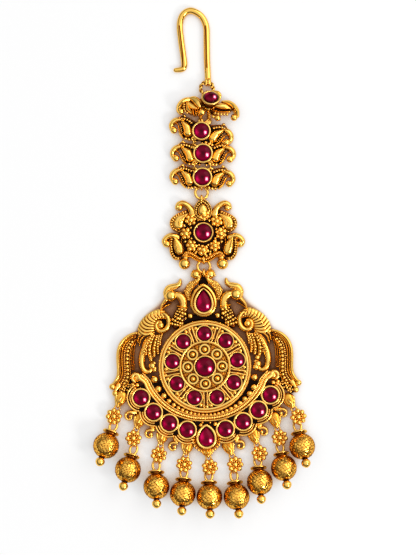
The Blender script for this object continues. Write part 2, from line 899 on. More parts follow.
class Bench:
    """Writes surfaces as pieces of the model."""

    def __init__(self) -> None:
        """Starts without materials; each is made when a piece first takes it."""
        self.materials: dict[str, bpy.types.Material] = {}

    def material(self, finish: Finish) -> bpy.types.Material:
        """The finish's material."""
        if finish.name not in self.materials:
            self.materials[finish.name] = finish.material()
        return self.materials[finish.name]

    def write(self, name: str, surfaces: Parts, finishes: list[Finish], nodes: list[str]) -> None:
        """Makes one mesh object, which rides on the body.

        Args:
            name: name of the piece.
            surfaces: surfaces in millimetres in the row frame.
            finishes: what the surfaces' indices pick from; the first names the record's slot.
            nodes: CAD nodes that the piece stands for.
        """
        start = np.cumsum([0] + [len(s.points) for s in surfaces[:-1]])
        points = np.vstack([s.points for s in surfaces]) * MM
        faces = np.vstack([np.where(one.faces < 0, -1, one.faces + first)
            for one, first in zip(surfaces, start)])
        corners = (faces >= 0).sum(axis=1)
        mesh = bpy.data.meshes.new(name)
        mesh.vertices.add(len(points))
        mesh.vertices.foreach_set("co", points.astype(np.float32).ravel())
        mesh.loops.add(int(corners.sum()))
        mesh.loops.foreach_set("vertex_index", faces[faces >= 0].astype(np.int32))
        mesh.polygons.add(len(faces))
        firsts = np.append(0, np.cumsum(corners)[:-1])
        mesh.polygons.foreach_set("loop_start", firsts.astype(np.int32))
        finish = np.concatenate([np.full(len(s.faces), s.finish) for s in surfaces])
        mesh.polygons.foreach_set("material_index", finish.astype(np.int32))
        mesh.update(calc_edges=True)
        mesh.validate()
        shade = mesh.attributes.new("shade", "FLOAT", "POINT")
        shade.data.foreach_set("value",
            np.concatenate([s.shade for s in surfaces]).astype(np.float32))
        mesh.polygons.foreach_set("use_smooth", np.ones(len(mesh.polygons), bool))
        mesh.set_sharp_from_angle(angle=math.radians(50))
        for one in finishes:
            mesh.materials.append(self.material(one))
        piece = bpy.data.objects.new(name, mesh)
        bpy.context.scene.collection.objects.link(piece)
        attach(piece, "root")
        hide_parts(*nodes)
        LOG.info("%s: %d faces", name, len(faces))


@dataclass(frozen=True)
class Place:
    """Where a CAD node lies, in millimetres."""

    low: Array
    high: Array

    @classmethod
    def of(cls, node: str) -> Place:
        """The node's box."""
        low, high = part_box(node)
        return cls(np.array(low) / MM, np.array(high) / MM)

    @property
    def centre(self) -> Spot:
        """Middle of the box."""
        return tuple(float(v) for v in (self.low + self.high) / 2)

    @property
    def radius(self) -> float:
        """Half of the box's width."""
        return float(self.high[0] - self.low[0]) / 2


LAY = turn_about("z", 1.2)     # the pendant lies turned a little about its medallion


def upright(points: Points) -> Points:
    """Points as they lie, turned back into the pendant's own upright frame."""
    return [tuple(p) for p in np.asarray(points, float) @ LAY[:2, :2]]


def drawn(points: Points, *rest: object) -> Surface:
    """Strand of the pendant along a line given as it lies."""
    return strand(upright(points), *rest)


def beaded(points: Points, *rest: object) -> Surface:
    """Row of beads of the pendant along a line given as it lies."""
    return bead_line(upright(points), *rest)


def set_grains(middles: Points, radii: Real, fine: int) -> Surface:
    """Granules of the pendant about middles given as they lie."""
    return granules([(*upright([at[:2]])[0], at[2]) for at in middles], radii, fine)


def both(surfaces: Parts) -> Parts:
    """Surfaces of the left side, and their mirror images."""
    return surfaces + [s.mirrored() for s in surfaces]


def laid(surfaces: Parts) -> Parts:
    """Surfaces carried from the pendant's upright frame to where it lies."""
    return [s.placed(LAY, (0, 0, 0)) for s in surfaces]


# ---------- rubies


@dataclass(frozen=True)
class Gem:
    """A stone's light. Coordinates are shares of its radius from its middle."""

    seed: int
    body: float = 0.37

    def glow(self, x: Array, y: Array) -> Array:
        """Light that the foil sends back at each place.

        Args:
            x: places across.
            y: places up.

        Returns:
            The body's level with bell-shaped bright patches inside the left and lower edges, a
            dim lower right, a dark spot at the middle and a dark edge.
        """
        chance = np.random.default_rng(self.seed)
        reach = np.hypot(x, y)
        lean = chance.uniform(-0.25, 0.35)
        left = np.exp(-(((x + 0.66) / 0.2) ** 2) - (((y - lean) / 0.42) ** 2))
        inner = np.exp(-(((x + 0.38) / 0.12) ** 2) - (((y - lean + 0.1) / 0.16) ** 2))
        low = np.exp(-(((reach - 0.72) / 0.16) ** 2) - (((y + 0.7) / 0.4) ** 2))
        centre = np.exp(-((reach / 0.24) ** 2))
        light = (self.body + chance.uniform(0.35, 0.5) * left + 0.22 * inner + 0.16 * low - 0.14
            * centre - 0.13 * np.clip(0.6 * x - 0.5 * y, 0, 1))
        edge = np.clip((1.0 - reach) / 0.08, 0, 1)
        light = 0.78 * np.clip(light * (0.3 + 0.7 * edge), 0, 1)
        window = np.exp(-(((x - 0.52) / 0.2) ** 4) - (((y + 0.24) / 0.26) ** 4))
        return light + (1 - light) * window

    def lit(self, stone: Surface, centre: Flat, radius: float, tip: float = 0.0) -> Surface:
        """The stone with its light as shade; a drop's upper part is drawn together by its tip
        before the light is looked up.

        Args:
            stone: the stone.
            centre: its middle.
            radius: radius of its round end.
            tip: height of a drop's tip, 0 for a round stone.

        Returns:
            The stone.
        """
        x = (stone.points[:, 0] - centre[0]) / radius
        y = (stone.points[:, 1] - centre[1]) / radius
        if tip:
            y = np.where(y > 0, y * radius / tip, y)
            x = x / np.maximum(1 - 0.8 * np.clip(y, 0, 1) ** 2, 0.15) * 0.98
        return Surface(stone.points, stone.faces, self.glow(x, y), stone.finish)


@dataclass(frozen=True)
class RoundStones:
    """Round cabochons seated where their CAD nodes are."""

    name: str
    nodes: tuple[str, ...]
    seed: int = 0
    girdle: float = 0.65        # height of the edge over the seat

    def build(self, bench: Bench) -> None:
        """Writes the stones as one piece.

        Args:
            bench: writes the piece.
        """
        made = []
        for index, node in enumerate(self.nodes):
            place = Place.of(node)
            x, y, _ = place.centre
            stone = dome(round_outline(place.radius), (x, y), place.low[2], place.low[2]
                + self.girdle, place.high[2], rings=18)
            made.append(Gem(self.seed + index).lit(stone, (x, y), place.radius))
        bench.write(self.name, made, [RUBY], list(self.nodes))


# ---------- hook


@dataclass
class Hook:
    """Polished wire hook with a wrapped eye, and the twisted ring that it holds."""

    wire: float = 0.75
    line: Points = ((0.74, 68.6), (0.62, 71), (0.45, 74.5), (0.4, 78.4), (0.25, 81.9), (-1, 84.35),
        (-3.4, 85.6), (-5.3, 84.6), (-6.05, 82.2), (-5.75, 78.6), (-5.25, 75), (-4.95, 72.5),
        (-5.45, 71.5), (-7.1, 71.25))
    loop_wire: float = 0.4

    def build(self, bench: Bench) -> None:
        """Writes the hook and its ring.

        Args:
            bench: writes the pieces.
        """
        ring_place = Place.of("hook_ring")
        x, y, z = ring_place.centre
        radius = ring_place.radius - self.loop_wire
        line = [(px, py, self.wire) for px, py in self.line]
        leg = tube(line, [0.72] + [self.wire] * 11 + [0.72, 0.52], segments=32)
        middle = np.interp(leg.points[:, 1], [71.5, 78.4, 81.9], [0.6, 0.4, 0.25])
        far = np.interp(leg.points[:, 1], [71.5, 75, 82.2], [-5.2, -5.25, -6.05])
        across = leg.points[:, 0] - np.where(leg.points[:, 0] > -3, middle, far)
        stripe = np.exp(-(((across + 0.14) / 0.2) ** 2)) * (leg.points[:, 2] > self.wire)
        leg.shade[:] = 1.2 * stripe * (leg.points[:, 1] < 82) * (leg.points[:, 1] > 71.8)
        hook = [leg]
        hook += [upright_eye((side, y + radius, z), 64) for side in (0.35, 0.95)]
        knots = [(0.15, 67.75, 1.7), (1.2, 67.7, 1.75), (1.45, 67.05, 1.6), (0.75, 68.15, 1.75)]
        hook.append(granules(knots, 0.3))
        bench.write("hook", hook, [POLISHED], ["hook_wire"])
        loop = ring((x, y, z), radius, self.loop_wire, twist=9, segments=160, sides=16)
        bench.write("hook_loop", [loop], [ANTIQUE], ["hook_ring"])


# ---------- chain


@dataclass
class Wing:
    """Left wing of a link about its stone: a curl that ends in a ball, a creased leaf
    with a bulb, a rim with dots inside it, beads, and a hatched band with a knob."""

    floor: float
    detail: Ridges = Ridges(0.48, 0.22, 0.25)

    def surfaces(self) -> Parts:
        """Builds the wing.

        Returns:
            Its surfaces in the link's flat frame, the ground first.
        """
        low = self.floor
        ground = strand([(-1.2, -0.3), (-3, -0.2), (-4.5, 1)], [4.6, 4.5, 1.8], low + 0.4,
            low + 0.65, low, FLAT).shaded(0.97)
        curl = strand([(-4.7, 1.6), (-5.6, 1.55), (-6.5, 1.2), (-7.15, 0.5), (-7.35, -0.3),
            (-7.05, -1.1)], [0.5, 1.25, 1.45, 1.45, 1.25, 1], low + 0.2,
            [2.1, 2.3, 2.35, 2.3, 2.1, 1.9], low + 0.04)
        end = granules([(-6.5, -1.25, low + 0.8)], 0.84, 14)
        leaf = strand([(-5.4, 1.45), (-4.55, 0.98), (-3.65, 0.22), (-3.12, -0.8)],
            [0.3, 1.25, 2.15, 2.35], low + 0.55, [2.1, 2.4, 2.6, 2.5], low + 0.06)
        bulb = granules([(-3.08, -0.98, low + 0.66)], 1.2, 16)
        crease = strand([(-5, 0.85), (-4.45, 0.1), (-4, -0.75), (-3.5, -1.5)], 0.34, 1.9,
            [2.3, 2.55, 2.5, 2.3], low + 0.9)
        rim = strand([(-6.35, 0.5), (-5.75, 0.2), (-5.3, -0.65), (-4.85, -1.7), (-4, -2.5)],
            [0.4, 0.56, 0.56, 0.56, 0.5], low + 0.3, [2, 2.2, 2.2, 2.2, 2.1], low + 0.02)
        dots = bead_line([(-5.25, 0.45), (-4.98, -0.1), (-4.75, -0.75), (-4.45, -1.4), (-3.95, -2)],
            0.17, low + 1, 7, 1.5)
        tail = granules([(-3.25, -2.62, low + 1), (-2.45, -2.62, low + 1.1),
            (-1.65, -2.45, low + 1.2), (-0.85, -2.75, low + 1)], [0.36, 0.38, 0.4, 0.3], 9)
        row = bead_line([(-5.55, 1.75), (-4.8, 1.98), (-4.1, 1.92), (-3.3, 1.66), (-2.5, 1.22)],
            0.29, low + 1.25, 9, 1.12)
        band = strand([(-1.8, 1.7), (-3, 2.1), (-4.2, 2.38), (-5, 2.5)], 0.42, low + 0.4, 1.9, low
            + 0.03, DOMED, self.detail).darker(0.35)
        bow = strand([(-5.9, 1.95), (-5.5, 2.4), (-4.95, 2.6)], 0.36, low + 0.4, 1.95, low + 0.05)
        knob = granules([(-4.85, 2.72, low + 0.75)], 0.44, 9)
        smooth = (curl, end, leaf, bulb, crease, rim, dots, tail, row, bow, knob)
        return [ground, band, *smoothed(*smooth)]


@dataclass
class Link:
    """Plate with two wings and a round setting; the first leans back."""

    index: int
    place: tuple[float, float, float, float]   # stone x, y, turn and bezel radius
    rings_above: tuple[Row, float] | None
    rings_below: tuple[Row, float] | None
    floor: float = 0.65
    seat: float = 2.2
    bezel_top: float = 3.1
    bezel_width: float = 0.48
    ring_reach: float = 0.85

    def setting(self) -> Parts:
        """Cup and bezel about the stone.

        Returns:
            Both, about the origin.
        """
        outer = self.place[3]
        cup = lathe([(0, self.floor + 0.01, 1), (outer - 0.1, self.floor + 0.01, 0.9),
            (outer, self.floor + 0.15, 0.5), (outer, self.seat - 0.12, 0.2),
            (outer - 0.2, self.seat - 0.1, 0.8), (0, self.seat - 0.1, 1)])
        lip = bezel(round_outline(outer - self.bezel_width), round_outline(outer), (0, 0),
            self.floor + 0.3, self.bezel_top)
        return [cup, lip.rimmed()]

    def lugs(self) -> Parts:
        """Lugs where the small rings pass, each running in towards the stone.

        Returns:
            The lugs in the row frame.
        """
        made = []
        x, y = self.place[:2]
        for rings, side in ((self.rings_above, -1), (self.rings_below, 1)):
            for at in rings[0] if rings else ():
                lug_y = rings[1] + side * self.ring_reach
                inner = (0.6 * at + 0.4 * x, 0.6 * lug_y + 0.4 * y)
                made.append(strand([(at, lug_y), inner], 1.35, 1.1, 1.4, 0.66, FLAT))
        return made

    def surfaces(self) -> Parts:
        """Everything in the row frame.

        Returns:
            Wings, setting and lugs.
        """
        x, y, turn, _ = self.place
        flat = both(Wing(self.floor).surfaces()) + self.setting()
        return [s.placed(turn_about("z", turn), (x, y, 0)) for s in flat] + self.lugs()

    def build(self, bench: Bench, extra: Parts) -> None:
        """Writes the link with any extra surfaces."""
        bench.write(f"link_{self.index}", self.surfaces() + extra, GOLDS,
            [f"link_{self.index}_plate"])


@dataclass
class FirstLink(Link):
    """The link that leans back towards the hook, with two tabs down to its rings."""

    floor: float = 1.85
    tilt: float = 38.0
    level: float = 1.95
    rise: float = 3.2

    def matrix(self) -> tuple[Array, Spot]:
        """Lean of the link.

        Returns:
            Turn and shift from the link's own flat frame.
        """
        x, y, turn, _ = self.place
        turned = turn_about("z", turn) @ turn_about("x", -self.tilt)
        return turned, (x, y - self.rise * math.sin(math.radians(self.tilt)), self.level)

    def stone(self, bench: Bench) -> None:
        """Writes the leaning stone.

        Args:
            bench: writes the piece.
        """
        radius = self.place[3] - self.bezel_width - 0.05
        flat = dome(round_outline(radius), (0, 0), self.seat, self.seat + 0.5, self.seat + 1.55,
            rings=18)
        lit = Gem(31, body=0.34).lit(flat, (0, 0), radius)
        bench.write("link_ruby_1", [lit.placed(*self.matrix())], [RUBY], ["link_1_stone"])

    def setting(self) -> Parts:
        """Cone under the stone, so that the lip hides it from above, and its lip.

        Returns:
            Both, in the link's flat frame.
        """
        outer, inner = self.place[3], self.place[3] - self.bezel_width
        lip = self.bezel_top - 0.5
        cone = lathe([(0, 0.3, 1), (0.9, 0.3, 0.9), (outer - 0.1, lip, 0.6),
            (outer - 0.35, lip + 0.05, 0.9), (0, self.seat + 0.02, 1)])
        return [cone, bezel(round_outline(inner), round_outline(outer), (0, 0), lip,
            self.bezel_top).rimmed()]

    def lobes(self) -> Parts:
        """Wings of the first link: on each side a full outer lobe that ends in a ball, a
        smooth leaf, and beads and flutes along the raised lower edge.

        Returns:
            The wings in the row frame.
        """
        left_lobe = strand([(-3.4, 64.15), (-4.6, 63.9), (-5.5, 63.3), (-6.1, 62.4), (-6.25, 61.5)],
            [1.1, 1.5, 1.6, 1.6, 1.3], 1.2, [2.6, 2.9, 3.2, 3.5, 3.3], 0.5)
        left_curl = strand([(-4, 63.5), (-4.3, 62.7), (-4, 61.6), (-3.2, 60.8)], [0.8, 1.2, 1.3, 1],
            1.8, [3, 3.5, 4, 4.1], 1)
        left_leaf = strand([(-3.8, 64.35), (-2.8, 64.1), (-1.9, 63.4), (-1.3, 62.3)],
            [0.6, 1.9, 2.2, 1.5], 1.6, [2.6, 3.2, 3.8, 4.1], 0.8, LEAF)
        right_lobe = strand([(4.3, 63.4), (5.6, 63.2), (6.7, 62.5), (7.45, 61.4), (7.65, 60.3)],
            [1, 1.5, 1.6, 1.6, 1.3], 1.4, [3, 3.3, 3.6, 3.9, 3.6], 0.8)
        right_leaf = strand([(2.7, 62.5), (3.6, 62.35), (4.8, 62.2), (6.1, 61.8)],
            [1.3, 1.8, 1.7, 0.5], 1.8, [4.2, 4.2, 4, 3.6], 1, LEAF)
        right_flute = strand([(1.9, 61.4), (3, 61.05), (4.4, 60.95), (5.9, 61)], 0.5, 2.4, 4.2, 1.5)
        right_beads = bead_line([(2.1, 60.75), (3.3, 60.4), (4.6, 60.35), (6, 60.3)], 0.36, 3.7, 9)
        left_beads = bead_line([(-4.95, 63), (-5.05, 62.1), (-4.75, 61.2), (-4, 60.5)], 0.27, 3.2,
            8)
        flutes = [strand([(x, 61.7), (x + 0.1, 60.9), (x + 0.3, 60.2)], 0.5, 2.4, [4.3, 4.2, 3.6],
            1.4) for x in (-2.9, -2.35, -1.8)]
        balls = granules([(-5.75, 61.15, 2.6), (6.95, 59.7, 2.9), (-0.75, 60.95, 3.2), (3, 59.6, 3),
            (2, 59.9, 3)], [0.8, 0.84, 0.9, 0.8, 0.45], 14)
        fold = strand([(-4.1, 63.2), (-3.2, 62.4), (-2.2, 61.7)], [1.1, 1.7, 1.3], 1.6,
            [3, 3.4, 3.7], 0.9, LEAF)
        bridge = strand([(-0.9, 62.2), (0.6, 61.9), (2, 62)], [1.2, 1.3, 1.2], 1.4, [3, 3, 3.2],
            0.9)
        grounds = [strand([(-1, 62.6), (-3, 62.7), (-5, 62.8)], [3.6, 3.4, 1.8], 0.8, 2.4, 0.3,
            FLAT), strand([(2, 61.9), (4, 61.9), (6.2, 62.1)], [2.8, 2.6, 1.6], 0.8, 2.6, 0.6,
            FLAT)]
        return [s.shaded(0.6) for s in grounds] + smoothed(left_lobe, left_curl, left_leaf,
            right_lobe, right_leaf, right_flute, right_beads, left_beads, *flutes, balls, fold,
            bridge)

    def surfaces(self) -> Parts:
        """Everything in the row frame.

        Returns:
            Setting, wings, tabs, grains and the loop's shoulder.
        """
        made = [s.placed(*self.matrix()) for s in self.setting()] + self.lobes()
        for at in self.rings_below[0]:
            made.append(strand([(at, 61.3), (at, 60.4), (at, 59.75)], [1, 1.1, 0.9], 1.6,
                [3.9, 3.5, 2.6], 1.45))
        made.append(granules([(-0.6, 61.3, 3.7), (-1.3, 61, 3.4), (0.9, 61.6, 3.9), (2.4, 60.6, 3),
            (3.4, 59.3, 2.2), (1.9, 60.2, 2.8), (-2, 60.8, 3)], [0.32, 0.3, 0.3, 0.36, 0.42, 0.3,
            0.3], 8))
        shoulder = tube([(2.3, 65.8, 2.7), (3.05, 65.6, 2.8), (3.5, 64.95, 2.8), (3.5, 64.2, 2.7)],
            [0.4, 0.5, 0.5, 0.3]).shaded(0.25)
        return made + [shoulder.smooth()]


@dataclass
class SmallRings:
    """Upright wire rings between the links, two at a time."""

    radius: float = 0.85
    wire: float = 0.2
    level: float = 1.0

    def build(self, bench: Bench, rows: list[tuple[Row, float]]) -> None:
        """Writes all of them as one piece.

        Args:
            bench: writes the piece.
            rows: where the rings lie across, and the height of each row.
        """
        made = [ring((x, y, self.level), self.radius, self.wire, (1, 0, 0), segments=40, sides=10)
            for xs, y in rows for x in xs]
        bench.write("small_rings", made, [ANTIQUE],
            [f"link_rings_{i}_{i + 1}" for i in range(1, 4)])


@dataclass
class FlatRings:
    """Two flat jump rings and the upright eyes that hang on them."""

    wire: float = 0.32
    nodes: tuple[str, str] = ("ring_link_rosette", "ring_rosette_pendant")

    def eye(self, node: str, side: int) -> Surface:
        """Upright eye over the ring's far (side 1) or near (side -1) point.

        Args:
            node: the ring.
            side: 1 or -1.

        Returns:
            The eye.
        """
        place = Place.of(node)
        x, y, z = place.centre
        return upright_eye((x, y + side * (place.radius - self.wire), z))

    def build(self, bench: Bench) -> None:
        """Writes the rings.

        Args:
            bench: writes the piece.
        """
        places = [Place.of(node) for node in self.nodes]
        made = [ring(at.centre, at.radius - self.wire, self.wire, segments=72) for at in places]
        bench.write("jump_rings", made, [SMOOTH], list(self.nodes))


# ---------- rosette


@dataclass
class Rosette:
    """Openwork plaque about its stone: a beaded drop on top, two paisleys and two curls
    each side, clusters of grains round the setting, a swag and two balls below."""

    floor_top: float = 1.1
    bezel_width: float = 0.42
    petals: tuple[int, ...] = (40, 88, 136, 184, 229, 270, 311, 356)
    petal_pitch: float = 4.2
    petal_radius: float = 1.38

    def paisley(self, spine: Points, widths: list[float], border: Points, inner: Points) -> Parts:
        """Domed leaf with a groove, a ridge and a row of beads on its border.

        Args:
            spine: middle line of the leaf.
            widths: its widths.
            border: line of the beads.
            inner: line of the ridge.

        Returns:
            Its surfaces.
        """
        base = strand(spine, [w + 0.75 for w in widths], 1, 1.5, 0.02, FLAT).shaded(0.8)
        leaf = strand(spine, widths, 1.2, [2.15, 2.3, 2.2, 2], 0.05, LEAF)
        ridge = strand(inner, [0.3, 0.5, 0.5, 0.35], 1.8, [2.3, 2.5, 2.5, 2.2], 0.5)
        band = strand(border, 0.75, 0.8, 1.5, 0.03, FLAT).shaded(0.55)
        beads = bead_line(border, 0.28, 1.62, 8, 1.05)
        rim = strand([(x * 1.045, y * 1.045) for x, y in border], 0.34, 0.8, 1.85, 0.04)
        return [base, band, *smoothed(leaf, ridge, beads, rim)]

    def left_side(self) -> Parts:
        """Paisleys, curls, neck, ball and swag of the left side.

        Returns:
            Its surfaces.
        """
        made = self.paisley([(-6.05, 2), (-5.75, 2.95), (-4.8, 3.8), (-3.9, 4.4)],
            [2.7, 2.5, 1.5, 0.4], [(-4.1, 5), (-5.1, 4.55), (-6.3, 4), (-7.3, 3.2), (-7.65, 2.1),
            (-7.3, 1), (-6.4, 0.45)], [(-4.4, 4.1), (-5.4, 3.1), (-5.95, 2.2), (-5.6, 1.5)])
        made += self.paisley([(-5.85, -4.3), (-6.15, -3.2), (-6.65, -2), (-7, -1.2)],
            [2.3, 2.4, 1.6, 0.4], [(-7.65, -1.4), (-7.75, -2.6), (-7.7, -3.8), (-7.5, -5),
            (-6.7, -6.1), (-5.6, -6.2)], [(-6.85, -1.6), (-6.5, -2.9), (-6.3, -4), (-5.8, -4.6)])
        upper = strand([(-2.7, 4.5), (-3.1, 5.6), (-3.9, 6.5), (-5, 7.05), (-6, 6.75),
            (-6.35, 5.95)], [2, 1.6, 1.4, 1.35, 1.25, 1], 1, [1.8, 2.1, 2.2, 2.2, 2.1, 1.8], 0.03)
        upper_end = granules([(-5.75, 5.95, 1.15)], 0.78, 14)
        lower = strand([(-6.3, -1.15), (-7.6, -0.75), (-8.75, -1.2), (-9.45, -2.1), (-9.2, -2.95)],
            [1.5, 1.3, 1.3, 1.25, 1], 1, [1.9, 2.2, 2.2, 2.1, 1.8], 0.04)
        lower_end = granules([(-8.8, -2.75, 1.15)], 0.85, 14)
        made += smoothed(upper, upper_end, lower, lower_end)
        neck = strand([(-4.2, -5.6), (-4.45, -6.9)], [1.7, 1.5], 0.8, 1.8, 0.06)
        ball = granules([(-4.55, -7.55, 1.42)], 1.38, 22)
        swag = strand([(-4.3, -5.7), (-3.2, -5.75), (-2.2, -6.35), (-1.1, -6.95), (0, -7.15)], 0.5,
            1, 2.2, 0.05)
        upper_swag = strand([(-4.9, -5.6), (-4.1, -4.95), (-3.1, -5.05), (-2.1, -5.65),
            (-1.1, -6.25), (0, -6.45)], [0.8, 1.2, 1.2, 1.1, 1, 1], 1, 2.05, 0.07, DOMED,
            Ridges(0.42, 0.22))
        made += smoothed(neck, ball, swag, upper_swag)
        for twig, width, top in (([(-2.9, 2.8), (-3.6, 4.2)], [0.6, 0.5], 1.6), ([(-4.7, 1),
            (-5.5, 0.4), (-6.3, 0.1)], 0.5, 1.7), ([(-4.9, -0.6), (-5.3, -2), (-5, -3.6)], 0.35,
            1.6)):
            made.append(strand(twig, width, 1, top, 0.1, DOMED, Ridges(0.35, 0.3)))
        return made

    def petal(self, degrees: float, seed: int) -> Parts:
        """Cluster of grains: a knob with grains packed round it.

        Args:
            degrees: where it stands round the stone.
            seed: seed of its grains.

        Returns:
            Its surfaces.
        """
        x, y = polar(self.petal_pitch, degrees)
        chance = np.random.default_rng(seed)
        r = self.petal_radius
        base = lathe([(0, 0.1, 1), (r, 0.1, 1), (r, 0.9, 0.6), (0.87 * r, 1.5, 0.3),
            (0.58 * r, 1.95, 0.25), (0, 2.1, 0.1)], 24, (x, y, 0))
        angle = np.radians(np.arange(6) * 60 + chance.uniform(0, 60))
        around = about(x, y, 1.6 + chance.uniform(-0.12, 0.12, 6), r * 0.7, angle)
        return smoothed(base, granules(around, chance.uniform(0.42, 0.64, 6), 9),
            granules([(x, y, 1.9)], 0.74, 12))

    def drop(self) -> Parts:
        """Beaded drop on top, with a domed heart.

        Returns:
            Its surfaces.
        """
        at = (-0.2, 5)
        made = [plate(drop_outline(2.2, 3.15), at, 0.04, 1.5, 0.8)]
        for radius, tip, size, level in ((2.08, 3, 0.2, 1.6), (1.6, 2.38, 0.27, 1.85)):
            line = drop_outline(radius, tip) + at
            made.append(bead_line(np.vstack([line, line[:1]]), size, level))
        heart = dome(drop_outline(1.25, 1.95), (at[0], at[1] + 0.05), 0.6, 1.75, 2.75)
        return made + smoothed(heart, granules([(at[0], at[1] - 0.35, 2.35)], 0.5, 10))

    def build(self, bench: Bench, eyes: Parts) -> None:
        """Writes the plaque with the eyes of its two jump rings.

        Args:
            bench: writes the piece.
            eyes: the eyes of the two rings.
        """
        stone = Place.of("rosette_stone")
        x, y, _ = stone.centre
        radius = stone.radius + 0.05
        outer = radius + self.bezel_width
        flat = [plate(round_outline(6), (0, -0.7), 0, self.floor_top, 0.8)]
        flat += both(self.left_side()) + self.drop()
        for seed, angle in enumerate(self.petals):
            flat += self.petal(angle, seed)
        between = np.radians([15, 64, 112, 160, 207, 250, 290, 333])
        fill = [about(0, 0, 1.3, pitch, between) for pitch in (3.2, 4.9)]
        cup = lathe([(0, 0.03, 1), (outer, 0.03, 1), (outer, 2, 0.6), (outer - 0.3, 2.1, 0.9),
            (0, 2.1, 1)])
        lip = bezel(round_outline(radius), round_outline(outer), (0, 0), 0.5, 3.1)
        below = granules([(0.7, -5.6, 1.5), (-0.5, -5.3, 1.4), (1.6, -5.2, 1.4), (2.6, -5, 1.3),
            (-1.9, -4.9, 1.2)], 0.36, 8)
        flat += [granules(np.vstack(fill), 0.36, 7).smooth(), cup, lip.rimmed(), below]
        made = [s.placed(np.eye(3), (x, y, 0)) for s in flat]
        bench.write("rosette", made + eyes, GOLDS, ["rosette_plate"])


# ---------- medallion


